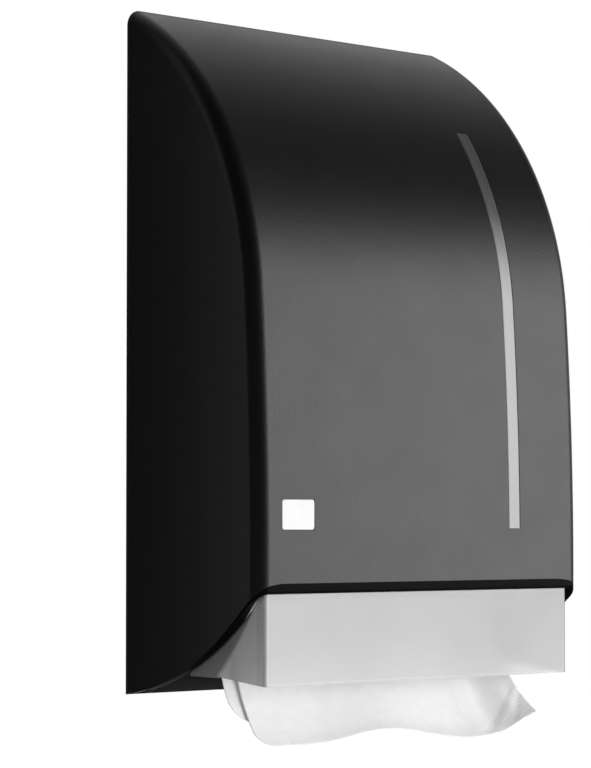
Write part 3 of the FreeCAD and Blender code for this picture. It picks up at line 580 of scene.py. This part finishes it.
def tube(sketch, d, h, outer, inner, low, high, count=32):
    """A round boss along x, with a bore."""
    rings = [[sketch.point(x, *spot) for spot in ring(d, h, radius, count)]
             for x, radius in ((low, outer), (high, outer), (high, inner), (low, inner))]
    out = [(0, -spot[0], spot[1]) for spot in ring(0, 0, 1, count)]
    for first, second, sign in ((0, 1, 1), (1, 2, 0), (2, 3, -1), (3, 0, 0)):
        facing = [tuple(sign * part for part in normal) for normal in out] if sign else None
        rows = [rings[first] + rings[first][:1], rings[second] + rings[second][:1]]
        sketch.strip(*rows, normals=[facing + facing[:1]] * 2 if facing else None)


def border(area):
    """The four lines of grid places round an area."""
    left, right, low, high = area
    across, up = range(left, right + 1), range(low, high + 1)
    lines = [[(column, row) for column in across] for row in (low, high)]
    return lines + [[(column, row) for row in up] for column in (left, right)]


def inside(area, column, row):
    return area[0] <= column < area[1] and area[2] <= row < area[3]


def make_cover():
    sketch = Sketch()
    outer, outer_facing = cover_grid(sketch, RIDGE, 1)
    inner, inner_facing = cover_grid(sketch, RIDGE - WALL, -1)
    across = [column[0] for column in cover_columns(RIDGE)]
    heights = [row[2] for row in cover_rows(0.0)]
    window = [number_of(across, WINDOW_X - WINDOW_HALF), number_of(across, WINDOW_X + WINDOW_HALF),
              number_of(heights, WINDOW_LOW), number_of(heights, WINDOW_HIGH)]
    badge = [number_of(across, BADGE_X - BADGE_HALF_X), number_of(across, BADGE_X + BADGE_HALF_X),
             number_of(heights, BADGE_H - BADGE_HALF_H), number_of(heights, BADGE_H + BADGE_HALF_H)]
    for points, facing, holes in ((outer, outer_facing, [window, badge]),
                                  (inner, inner_facing, [window])):
        for column in range(len(points) - 1):
            for row in range(len(points[0]) - 1):
                if any(inside(hole, column, row) for hole in holes):
                    continue
                spots = [(column, row), (column + 1, row), (column + 1, row + 1), (column, row + 1)]
                sketch.face([points[c][r] for c, r in spots], [facing[c][r] for c, r in spots])
    # Edges at the lower trim and at the wall
    for row in (0, len(outer[0]) - 1):
        sketch.strip([column[row] for column in outer], [column[row] for column in inner])
    # Walls of the window's slot, and the badge's seat
    for line in border(window):
        sketch.strip([outer[c][r] for c, r in line], [inner[c][r] for c, r in line])
    floor = {(c, r): sketch.point(across[c], BADGE_SEAT, heights[r])
             for c in range(badge[0], badge[1] + 1) for r in range(badge[2], badge[3] + 1)}
    for line in border(badge):
        sketch.strip([outer[c][r] for c, r in line], [floor[spot] for spot in line])
    for column in range(badge[0], badge[1]):
        for row in range(badge[2], badge[3]):
            sketch.face([floor[column, row], floor[column + 1, row], floor[column + 1, row + 1],
                         floor[column, row + 1]])
    # Sides, with the lock's hole in the right one and a boss for each hinge pin
    free = side_outline()
    foot = cover_rows(RIDGE, shown_band(0.0))[:-1]
    loop = free + [(d, h) for _, d, h in foot]
    edge = free + [foot[0][1:]]
    for side in (-1, 1):
        faces = (side * HALF, side * (HALF - WALL))
        hole = [ring(LOCK_D, LOCK_H, LOCK_R, 40)] if side > 0 else []
        for x, facing in zip(faces, (side, -side)):
            flat_face(sketch, x, [loop] + hole, facing)
        for line in [edge] + [spots + spots[:1] for spots in hole]:
            sketch.strip(*[[sketch.point(x, d, h) for d, h in line] for x in faces])
        tube(sketch, PIVOT_D, PIVOT_H, HINGE_BOSS_R, HINGE_BORE_R,
             side * (HALF - WALL - HINGE_BOSS_LENGTH), side * (HALF - WALL))
    sketch.piece("cover_shell", "cover", "cover_finish", ["cover"])


# Trim along the cover's lower edge

TRIM_THICK = 7.6
TRIM_BAR = WALL + 0.6
TRIM_CORNER = 4.0
TRIM_LAP = 0.2
# Rounding of the six corners of its section: foot, head, both ends of the seat, and inner face
TRIM_EASING = (2.2, 0.35, 0.1, 0.1, 0.4, 1.6)
TRIM_COLUMNS = (-128.0, -126.0, -124.0, -121.0)
# Where the trim's inner edge rises to the front bar: start, length and height
TRIM_RISE_D, TRIM_RISE_RUN, TRIM_RISE = 116.0, 13.0, 3.4


def rim_foot(d):
    """Height of the trim's inner edge, which rises at the corner to meet the front bar."""
    share = limited((d - TRIM_RISE_D) / TRIM_RISE_RUN)
    return min(LIP_FRONT_H, lower(d, 0.0) + TRIM_RISE * eased(share))


def rim_station(foot, head, wall, inner, band):
    """Across the trim: outer face, seat against the cover's edge and inner face."""
    x, d = wall
    loop = [foot, head, (x, d, lower(d, band)), (x, d, lower(d, BAND) + TRIM_LAP),
            (*inner, lower(inner[1], BAND) + TRIM_LAP), (*inner, rim_foot(inner[1]))]
    return rounded(loop, TRIM_EASING)


def side_station(d):
    band = shown_band(d - RIDGE_FOOT_D)
    return rim_station((-HALF, d, lower(d, 0.0)), (-HALF, d, lower(d, band)), (-HALF + WALL, d),
                       (-HALF + TRIM_THICK, d - 0.01), band)


def front_station(x, inset, wall, inner, band):
    foot, head = (x, *foot_of_front(inset, 0.0)), (x, *foot_of_front(inset, band))
    return rim_station(foot, head, wall, inner, band)


def make_rim():
    sketch = Sketch()
    bar_d = front_depth(LIP_FRONT_H) - TRIM_BAR
    stations = [side_station(d) for d in steps(RIM_BACK, RIDGE_FOOT_D, 30)]
    for angle in steps(84, 0, 14):
        side, ahead = math.sin(math.radians(angle)), math.cos(math.radians(angle))
        wall_d = foot_of_front(RIDGE - (RIDGE - WALL) * ahead, 0.0)[0]
        wall = (-(HALF - RIDGE + (RIDGE - WALL) * side), wall_d)
        inner_x = -(HALF - TRIM_THICK - TRIM_CORNER + TRIM_CORNER * side)
        inner = (inner_x, bar_d - TRIM_CORNER * (1 - ahead))
        stations.append(front_station(-(HALF - RIDGE + RIDGE * side), RIDGE * (1 - ahead), wall, inner,
                                      shown_band(RIDGE * math.radians(90 - angle))))
    wall_d = foot_of_front(WALL, 0.0)[0]
    for x in TRIM_COLUMNS:
        band = shown_band(outline_run(x, math.pi / 2))
        stations.append(front_station(x, 0.0, (x, wall_d), (x, bar_d), band))
    sketch.loft([sketch.row(station) for station in with_mirror(stations)])
    # The trim's near-black finish partly paints the shade along the casing's lower edge
    sketch.piece("rim_trim", "cover", "black_plastic", ["cover_rim"], sharp=32, finish="trim_black_painted_shade")


# Level window: a strip with a soft crest, held by a flange behind the cover

WINDOW_GAP = 0.1
# From the strip's edge to its middle: distance from the edge and depth below the cover's face
WINDOW_CREST = [(0.0, 0.5), (0.15, 0.22), (0.45, 0.08), (1.1, 0.02), (2.4, 0.0), (3.4, 0.04),
                (4.35, 0.09)]
WINDOW_MIDDLE = 0.11
FLANGE_REACH, FLANGE_FRONT, FLANGE_BACK = 2.5, 2.6, 3.8


def make_window():
    sketch = Sketch()
    half = WINDOW_HALF - WINDOW_GAP
    crest = [(away - half, inset) for away, inset in WINDOW_CREST]
    flange = [(-half - FLANGE_REACH, FLANGE_BACK), (-half - FLANGE_REACH, FLANGE_FRONT),
              (-half, FLANGE_FRONT)]
    back = [(-x, inset) for x, inset in reversed(flange)] + flange
    section = crest + [(0.0, WINDOW_MIDDLE)] + [(-x, inset) for x, inset in reversed(crest)] + back
    low, high = front_angle(WINDOW_LOW + WINDOW_GAP), crown_angle(WINDOW_HIGH) - 0.0005
    angles = [low] + [angle for angle in ROWS if low < angle < high] + [high]
    sketch.loft([sketch.row((WINDOW_X + x, *profile(angle, inset)) for x, inset in section)
                 for angle in angles])
    sketch.piece("window_strip", "cover", "window_plastic", ["level_window"], sharp=35)


# Badge: a bare plate with rounded corners and a soft edge

BADGE_ROUND = 1.6
# From the seat outwards: gap to the recess's wall and height above the seat
BADGE_EDGE = [(0.45, 0.0), (0.45, 0.55), (0.53, 0.7), (0.75, 0.78), (1.2, 0.8)]


def badge_outline(gap):
    across, up = BADGE_HALF_X - gap - BADGE_ROUND, BADGE_HALF_H - gap - BADGE_ROUND
    spots = []
    for number, (side, rise) in enumerate(((1, 1), (-1, 1), (-1, -1), (1, -1))):
        for turn in steps(number * 90, number * 90 + 90, 8):
            angle = math.radians(turn)
            spots.append((BADGE_X + side * across + BADGE_ROUND * math.cos(angle),
                          BADGE_H + rise * up + BADGE_ROUND * math.sin(angle)))
    return spots


def make_badge():
    sketch = Sketch()
    sketch.loft([sketch.row((x, BADGE_SEAT + proud, h) for x, h in badge_outline(gap))
                 for gap, proud in BADGE_EDGE])
    sketch.piece("badge_blank", "cover", "badge_finish", ["badge_plate"], sharp=60)


# Towel guard: a front pane and two wings, drawn as one bent sheet

GUARD_FRONT = front_depth(LIP_FRONT_H) - 4.0
GUARD_WALL = 2.0
GUARD_HALF = 131.0
GUARD_LOW, GUARD_TOP = 10.8, 88.0
GUARD_CORNER = 2.2
WING_LENGTH, WING_RISE = 50.0, 4.5
WING_STRIP, WING_TOP, WING_R = 8.0, 64.0, 245.0
WING_TAIL = GUARD_FRONT - WING_LENGTH
WING_HEAD = GUARD_FRONT - WING_STRIP
# The bead under the upper edge: how far it stands out, its levels below the edge, the height it
# needs and the length over which it fades at the head
BEAD, BEAD_LEVELS = 0.7, (3.2, 2.5, 0.9, 0.2)
BEAD_ROOM, BEAD_FADE = 8.0, 14.0
GUARD_SCREW_X, GUARD_SCREW_H = (-97.75, -34.5, 34.5, 97.75), 82.5
GUARD_SCREW_R, GUARD_SEAT_R, GUARD_SEAT_DEEP = 1.5, 3.0, 1.0
# How far a cut reaches past the face where it starts or ends
CUT_PAST = 1


def wing_edge(d):
    """Height of the wing's curved rear edge at a depth."""
    tail_h = GUARD_LOW + WING_RISE
    across, rise = WING_HEAD - WING_TAIL, WING_TOP - tail_h
    span = math.hypot(across, rise)
    back = math.sqrt(WING_R ** 2 - span ** 2 / 4)
    centre_d = (WING_TAIL + WING_HEAD) / 2 - back * rise / span
    centre_h = (tail_h + WING_TOP) / 2 + back * across / span
    return centre_h - math.sqrt(WING_R ** 2 - (d - centre_d) ** 2)


def wing_foot(d):
    return GUARD_LOW + WING_RISE * (GUARD_FRONT - d) / WING_LENGTH


def guard_station(outer, inner, high):
    """Up the outer face, with a bead under the upper edge, and down the inner face."""
    low = wing_foot(outer[1])
    share = min(1.0, (high - low) / BEAD_ROOM)
    bead = (outer[0] - BEAD * share * limited((WING_HEAD - outer[1]) / BEAD_FADE), outer[1])
    levels = [high - down * share for down in BEAD_LEVELS]
    return [(*outer, low), (*outer, levels[0]), (*bead, levels[1]), (*bead, levels[2]),
            (*outer, levels[3]), (*outer, high), (*inner, high), (*inner, low)]


def make_guard():
    sketch = Sketch()
    heights = [(d, wing_edge(d)) for d in steps(WING_TAIL + 0.6, WING_HEAD, 30)]
    heights += [(d, GUARD_TOP) for d in steps(WING_HEAD + 0.5, GUARD_FRONT - GUARD_CORNER, 3)]
    stations = [guard_station((-GUARD_HALF, d), (-GUARD_HALF + GUARD_WALL, d), high)
                for d, high in heights]
    centre_x, centre_d = -(GUARD_HALF - GUARD_CORNER), GUARD_FRONT - GUARD_CORNER
    for angle in steps(90, 0, 8):
        side, ahead = math.sin(math.radians(angle)), math.cos(math.radians(angle))
        outer, inner = [(centre_x - radius * side, centre_d + radius * ahead)
                        for radius in (GUARD_CORNER, GUARD_CORNER - GUARD_WALL)]
        stations.append(guard_station(outer, inner, GUARD_TOP))
    sketch.loft([sketch.row(station) for station in with_mirror(stations)])
    item = sketch.piece("guard_shell", "base", "frosted_plastic", ["towel_guard"], sharp=30)
    # Holes and sunk seats for the four screws
    for x in GUARD_SCREW_X:
        carve(item, x, GUARD_SCREW_H, GUARD_SCREW_R, GUARD_FRONT - GUARD_WALL - CUT_PAST)
        carve(item, x, GUARD_SCREW_H, GUARD_SEAT_R, GUARD_FRONT - GUARD_SEAT_DEEP)
    modify(item, "BEVEL", width=0.5 * MM, segments=3, limit_method="ANGLE", angle_limit=math.radians(40))
    modify(item, "WEIGHTED_NORMAL", keep_sharp=True)


def carve(item, x, h, radius, start):
    """Cuts a round hole out of the guard, from a depth to in front of its pane."""
    sketch = Sketch()
    sketch.loft([sketch.row((across, d, up) for across, up in ring(x, h, radius, 32))
                 for d in (start, GUARD_FRONT + CUT_PAST)])
    cutter = in_scene("cutter", sketch.mesh("cutter"))
    modifier = modify(item, "BOOLEAN", operation="DIFFERENCE", object=cutter, solver="EXACT")
    bpy.context.view_layer.update()
    result = bpy.data.meshes.new_from_object(item.evaluated_get(bpy.context.evaluated_depsgraph_get()))
    item.modifiers.remove(modifier)
    item.data = result
    item.data.name = item.name
    bpy.data.objects.remove(cutter)


# Webs: a thin wall behind each wing that closes the side up to the casing's lower edge

WEB_BACK, WEB_FRONT = 58.0, WING_HEAD - 4.0
WEB_OUTSIDE, WEB_INSIDE = 130.3, 129.2
WEB_OVER, WEB_LEAST, WEB_UNDER = 3.2, 1.0, 1.5
WEB_FOOT, WEB_ROUND = 14.3, 0.4


def make_webs():
    for name, side in (("web_left", -1), ("web_right", 1)):
        sketch = Sketch()
        loops = []
        for d in steps(WEB_BACK, WEB_FRONT, 36):
            high = lower(d, 0.0) + WEB_OVER
            low = WEB_FOOT
            if d > WING_TAIL + 2:
                low = min(high - WEB_LEAST, wing_edge(d) - WEB_UNDER)
            corners = [(WEB_OUTSIDE, low), (WEB_OUTSIDE, high), (WEB_INSIDE, high), (WEB_INSIDE, low)]
            loops.append(sketch.row(rounded([(side * x, d, h) for x, h in corners], [WEB_ROUND] * 4)))
        sketch.loft(loops)
        # The webs' grey finish is painted shade, on pieces of frosted plastic
        sketch.piece(name, "base", "frosted_plastic", [], sharp=35, finish="frosted_painted_shade")


# Towels. A sheet hangs from the outlet and sweeps forward on an arc to its waving lower edge.

SHEET_TOP = 74.7
SHEET_R = 105.0
SHEET_COLUMNS, SHEET_ROWS = 300, 150
# From left to right: share of the width, of the reach and of the drop
TOWEL_EDGE = [(-0.5, 0.56, 1.2), (-0.3, 0.8, 1.14), (-0.06, 0.95, 0.88),
              (0.16, 1.05, 1.18), (0.34, 1.1, 1.2), (0.5, 1.275, 0.6)]
PANEL_EDGE = [(-0.5, 0.6, 0.8), (-0.3, 0.68, 0.9), (-0.06, 0.98, 0.85),
              (0.16, 1.06, 1.0), (0.34, 1.13, 1.0), (0.5, 1.28, 0.65)]
# Lattice of the dots pressed into the paper: spacing across and down, width and height of a dot
DOTS_ACROSS, DOTS_DOWN, DOT_WIDTH, DOT_HEIGHT = 5.0, 4.2, 1.05, 0.13
# Folds down the right side: distance from the right edge, width and height
FOLDS = [(42, 12, 1.4), (26, 7, -1.0), (12, 5, 0.7)]
# Creases from the lower edge up to the right edge: distance of their foot from the corner, slope,
# width and height
CREASES = [(30, 1.1, 3.0, 0.34), (17, 0.8, 2.4, -0.3), (44, 1.6, 3.6, -0.24)]
# Slow waves: height, radians per millimetre across and down, and start
WAVES = [(0.5, 0.043, 0.021, 0.0), (0.22, 0.11, -0.07, 1.3)]
# A short dent in the lower edge: distance from the left edge, width, length and depth
DENT_AT, DENT_WIDTH, DENT_LENGTH, DENT_DEEP = 22, 1.3, 7, 0.6
# Length from the outlet over which the front sheet's shapes, and the back one's, reach full height
TOWEL_SETTLES, PANEL_SETTLES = 70, 60


def along_edge(edge, share):
    """Reach and drop at a share of the width, on a smooth line through the edge's points."""
    number = max(n for n in range(len(edge) - 1) if n == 0 or edge[n][0] <= share)
    four = [edge[max(0, min(len(edge) - 1, number + k))] for k in (-1, 0, 1, 2)]
    width = four[2][0] - four[1][0]
    t = (share - four[1][0]) / width
    values = []
    for part in (1, 2):
        slopes = []
        for back, ahead in ((four[0], four[2]), (four[1], four[3])):
            gap = ahead[0] - back[0]
            slopes.append((ahead[part] - back[part]) / gap * width if gap else 0.0)
        start, stop = four[1][part], four[2][part]
        values.append((2 * t ** 3 - 3 * t ** 2 + 1) * start + (t ** 3 - 2 * t ** 2 + t) * slopes[0]
                      + (3 * t ** 2 - 2 * t ** 3) * stop + (t ** 3 - t ** 2) * slopes[1])
    return values


def hanging_line(start, reach, drop):
    """Centre, first angle and sweep of the arc on which a sheet hangs, in depth and height."""
    fall = SHEET_TOP + drop
    length = math.hypot(reach, fall)
    back = math.sqrt(SHEET_R ** 2 - length ** 2 / 4)
    centre_d = start + reach / 2 + fall / length * back
    centre_h = SHEET_TOP - fall / 2 + reach / length * back
    first = math.atan2(SHEET_TOP - centre_h, start - centre_d) % (2 * math.pi)
    last = math.atan2(-drop - centre_h, start + reach - centre_d) % (2 * math.pi)
    return centre_d, centre_h, first, last - first


def ridge(distance, width):
    return math.exp(-(distance / width) ** 2)


def embossed(u, v):
    """The diamond lattice of small raised dots that is pressed into the paper."""
    lift = 0.0
    for half in (0.0, 0.5):
        across = ((u / DOTS_ACROSS + half) % 1.0 - 0.5) * DOTS_ACROSS
        along = ((v / DOTS_DOWN + half) % 1.0 - 0.5) * DOTS_DOWN
        lift += math.exp(-(across ** 2 + along ** 2) / DOT_WIDTH ** 2)
    return DOT_HEIGHT * lift


def towel_relief(u, v, breadth, length):
    right = breadth - u
    low = length - v
    hang = 0.5 + 0.5 * math.sin(min(1.0, v / TOWEL_SETTLES) * math.pi - math.pi / 2)
    lift = sum(height * ridge(right - away, width) for away, width, height in FOLDS)
    for away, slope, width, height in CREASES:
        lift += height * ridge((right + slope * low - away) / math.hypot(1, slope), width)
    lift += sum(height * math.sin(u * across + v * down + start) for height, across, down, start in WAVES)
    dent = DENT_DEEP * ridge(u - DENT_AT, DENT_WIDTH) * ridge(low, DENT_LENGTH)
    return embossed(u, v) + hang * lift - dent


def panel_relief(u, v, breadth, length):
    wave = 0.5 * math.sin(u * 0.05 + 0.6) * min(1.0, v / PANEL_SETTLES)
    return embossed(u + 2.0, v) + wave


def make_sheet(name, node, breadth, centre, start, reach, drop, corner, edge, relief):
    """A hanging sheet, with its lower left corner rounded. relief(u, v, breadth, length) is how far a
    point stands out, u from the left edge and v down from the outlet."""

    def line_at(share):
        forward, down = along_edge(edge, share)
        return hanging_line(start, reach * forward, drop * down)

    sketch = Sketch()
    rows = []
    for column in range(SHEET_COLUMNS + 1):
        length = SHEET_R * line_at(column / SHEET_COLUMNS - 0.5)[3]
        spots = []
        for row in range(SHEET_ROWS + 1):
            part = row / SHEET_ROWS
            short = corner - min(corner, length * (1 - part))
            inset = corner - math.sqrt(corner ** 2 - short ** 2)
            share = -0.5 + (inset + (breadth - inset) * column / SHEET_COLUMNS) / breadth
            centre_d, centre_h, first, sweep = line_at(share)
            angle = first + sweep * part
            u, v = (share + 0.5) * breadth, SHEET_R * sweep * part
            stand = SHEET_R - relief(u, v, breadth, SHEET_R * sweep)
            spots.append((centre + share * breadth, centre_d + stand * math.cos(angle),
                          centre_h + stand * math.sin(angle)))
        rows.append(sketch.row(spots))
    sketch.skin(rows)
    item = sketch.piece(name, "base", "paper", [node], sharp=180)
    modify(item, "SOLIDIFY", thickness=0.5 * MM, offset=0.0)
    return item


STACK_LOW, STACK_HIGH = 75.3, 299.3
STACK_BACK, STACK_FRONT = 15.3, 108.8
STACK_HALF = 111.2
LAYERS = 80
LAYER_WALL = 2.1


def make_stack():
    """The folded towels: one line of layers with a soft fold at each end, drawn across the magazine."""
    sketch = Sketch()
    pitch = (STACK_HIGH - STACK_LOW) / LAYERS
    bend = pitch / 2
    path = []
    for layer in range(LAYERS):
        h = STACK_LOW + pitch * (layer + 0.5)
        wander = 0.7 * math.sin(layer * 2.4) + 0.5 * math.sin(layer * 0.83 + 1.0)
        depths = steps(STACK_BACK + bend, STACK_FRONT - bend + wander, 5)
        side = 1
        if layer % 2:
            depths.reverse()
            side = -1
        path += [(d, h) for d in depths]
        if layer < LAYERS - 1:
            for angle in (30, 60, 90, 120, 150):
                turn = math.radians(angle)
                path.append((depths[-1] + side * bend * math.sin(turn), h + bend - bend * math.cos(turn)))
    rows = []
    for number, (d, h) in enumerate(path):
        slip = 0.5 * math.sin(number * 0.037) + 0.35 * math.sin(number * 0.31)
        rows.append(sketch.row((x + slip, d, h) for x in steps(-STACK_HALF, STACK_HALF, 8)))
    sketch.skin(rows)
    item = sketch.piece("towel_stack", "base", "paper", ["towel_pile"], sharp=180)
    modify(item, "SOLIDIFY", thickness=LAYER_WALL * MM, offset=0.0)


make_cover()
make_rim()
make_window()
make_badge()
make_guard()
make_webs()
make_stack()
leading = make_sheet("towel_front", "leading_towel", breadth=217.0, centre=4.0, start=74.6, reach=40.0,
                     drop=25.0, corner=12.0, edge=TOWEL_EDGE, relief=towel_relief)
panel = make_sheet("towel_back", "towel_back_panel", breadth=212.0, centre=-8.5, start=69.5, reach=25.0,
                   drop=20.0, corner=20.0, edge=PANEL_EDGE, relief=panel_relief)


# Stage, light and camera, in metres

FLOOR_SIZE, FLOOR_Z = 16, -1.1
# The floor's glow grows from its least strength to white between these distances from the object,
# and gloss shows it as backdrop between these
GLOW_NEAR, GLOW_FAR, GLOW_LEAST = 0.5, 2.4, 0.5
GLOSS_NEAR, GLOSS_FAR = 1.0, 3.0
# The white backdrop stands in this direction, behind the object. It fades in between these cosines.
BACKDROP_WAY = (0.63, 0.777, 0.0)
BACKDROP_START, BACKDROP_FULL = 0.93, 0.99
# Light of the studio that the gloss shows, from straight in front (0) over the top (0.25) to behind (0.5)
STUDIO = [(0.0, 0.02), (0.2, 0.03), (0.25, 0.14), (0.3, 0.42), (0.36, 0.75), (0.45, 1.0)]
STUDIO_LEAST = 0.004
# It fades toward the left between these sideways shares of the direction
STUDIO_LEFT, STUDIO_RIGHT = -0.35, 0.35


def facing(spot, target):
    return (Vector(target) - Vector(spot)).to_track_quat("-Z", "Y").to_euler()


def lamp(name, spot, target, size, power, height=None, glossy=True):
    data = bpy.data.lights.new(name, "AREA")
    data.shape = "RECTANGLE"
    data.size = size
    data.size_y = height or size
    data.energy = power
    item = in_scene(name, data)
    item.location = spot
    item.rotation_euler = facing(spot, target)
    item.visible_camera = False
    item.visible_glossy = glossy


def seen_directly(tree, in_gloss):
    """1 for what the camera sees, also through the frosted guard, and in gloss by the given share."""
    rays = add(tree, "ShaderNodeLightPath").outputs
    seen = maths(tree, "MAXIMUM", rays["Is Camera Ray"], rays["Is Transmission Ray"])
    return maths(tree, "MAXIMUM", seen, maths(tree, "MULTIPLY", rays["Is Glossy Ray"], in_gloss))


def at_backdrop(tree, way):
    """1 for directions toward the backdrop, with a soft edge."""
    toward = add(tree, "ShaderNodeVectorMath", operation="DOT_PRODUCT")
    tree.links.new(way, toward.inputs[0])
    toward.inputs[1].default_value = BACKDROP_WAY
    return spread(tree, toward.outputs["Value"], BACKDROP_START, BACKDROP_FULL, 0.0, 1.0)


def make_stage():
    """A pale floor. Its glow makes it white far out, and leaves room for the shadow of the object."""
    bpy.ops.mesh.primitive_plane_add(size=FLOOR_SIZE, location=(0, 0, FLOOR_Z))
    floor = bpy.context.object
    floor.name = "floor"
    tree, shader = new_material("floor_white")
    set_values(shader, Base_Color=(0.3, 0.3, 0.3, 1), Roughness=0.9)
    floor.data.materials.append(materials["floor_white"])
    place = position(tree)
    away = add(tree, "ShaderNodeVectorMath", operation="LENGTH")
    tree.links.new(place, away.inputs[0])
    flat = add(tree, "ShaderNodeVectorMath", operation="NORMALIZE")
    tree.links.new(place, flat.inputs[0])
    backdrop = maths(tree, "MULTIPLY", at_backdrop(tree, flat.outputs["Vector"]),
                     spread(tree, away.outputs["Value"], GLOSS_NEAR, GLOSS_FAR, 0.0, 1.0))
    glow = add(tree, "ShaderNodeEmission")
    level = spread(tree, away.outputs["Value"], GLOW_NEAR, GLOW_FAR, GLOW_LEAST, 1.0)
    strength = maths(tree, "MULTIPLY", level, seen_directly(tree, backdrop))
    tree.links.new(strength, glow.inputs["Strength"])
    both = add(tree, "ShaderNodeAddShader")
    tree.links.new(shader.outputs["BSDF"], both.inputs[0])
    tree.links.new(glow.outputs["Emission"], both.inputs[1])
    tree.links.new(both.outputs["Shader"], tree.nodes["Material Output"].inputs["Surface"])


def make_world():
    """A dark studio with a white backdrop behind the object that fades overhead."""
    world = bpy.data.worlds.new("studio")
    bpy.context.scene.world = world
    world.use_nodes = True
    tree = world.node_tree
    background = tree.nodes["Background"]
    way = add(tree, "ShaderNodeTexCoord").outputs["Generated"]
    parts = add(tree, "ShaderNodeSeparateXYZ")
    tree.links.new(way, parts.inputs["Vector"])
    ahead = maths(tree, "MULTIPLY", parts.outputs["Y"], -1.0)
    turn = maths(tree, "DIVIDE", maths(tree, "ARCTAN2", parts.outputs["Z"], ahead), 2 * math.pi)
    right = spread(tree, parts.outputs["X"], STUDIO_LEFT, STUDIO_RIGHT, 0.0, 1.0)
    studio = maths(tree, "MULTIPLY", ramp(tree, turn, STUDIO), right)
    studio = maths(tree, "MAXIMUM", studio, STUDIO_LEAST)
    strength = maths(tree, "MAXIMUM", studio, seen_directly(tree, at_backdrop(tree, way)))
    tree.links.new(strength, background.inputs["Strength"])
    background.inputs["Color"].default_value = (1, 1, 1, 1)


def make_camera():
    data = bpy.data.cameras.new("camera")
    data.lens = 121.17
    data.sensor_width = 36
    data.shift_y = 0.06
    data.clip_end = 50
    item = in_scene("camera", data)
    item.location = (-1.1246, -1.3893, -0.1136)
    item.rotation_euler = (math.radians(92.054), 0, math.radians(-39.073))
    bpy.context.scene.camera = item


make_stage()
make_world()
make_camera()
lamp("front_box", (1.45, -1.6, 0.1), (0, 0, 0.05), size=1.6, height=1.75, power=32)
lamp("fill_box", (0.7, -2.0, -0.35), (0, 0, -0.2), size=1.4, power=34, glossy=False)
lamp("left_fill", (-1.6, -0.7, -0.35), (0, -0.1, -0.2), size=1.2, power=12.5, glossy=False)
lamp("side_card", (-0.31, 0.03, 0.05), (-0.14, -0.12, 0.05), size=0.07, height=1.0, power=0.09)
bpy.context.scene.view_settings.view_transform = "Standard"
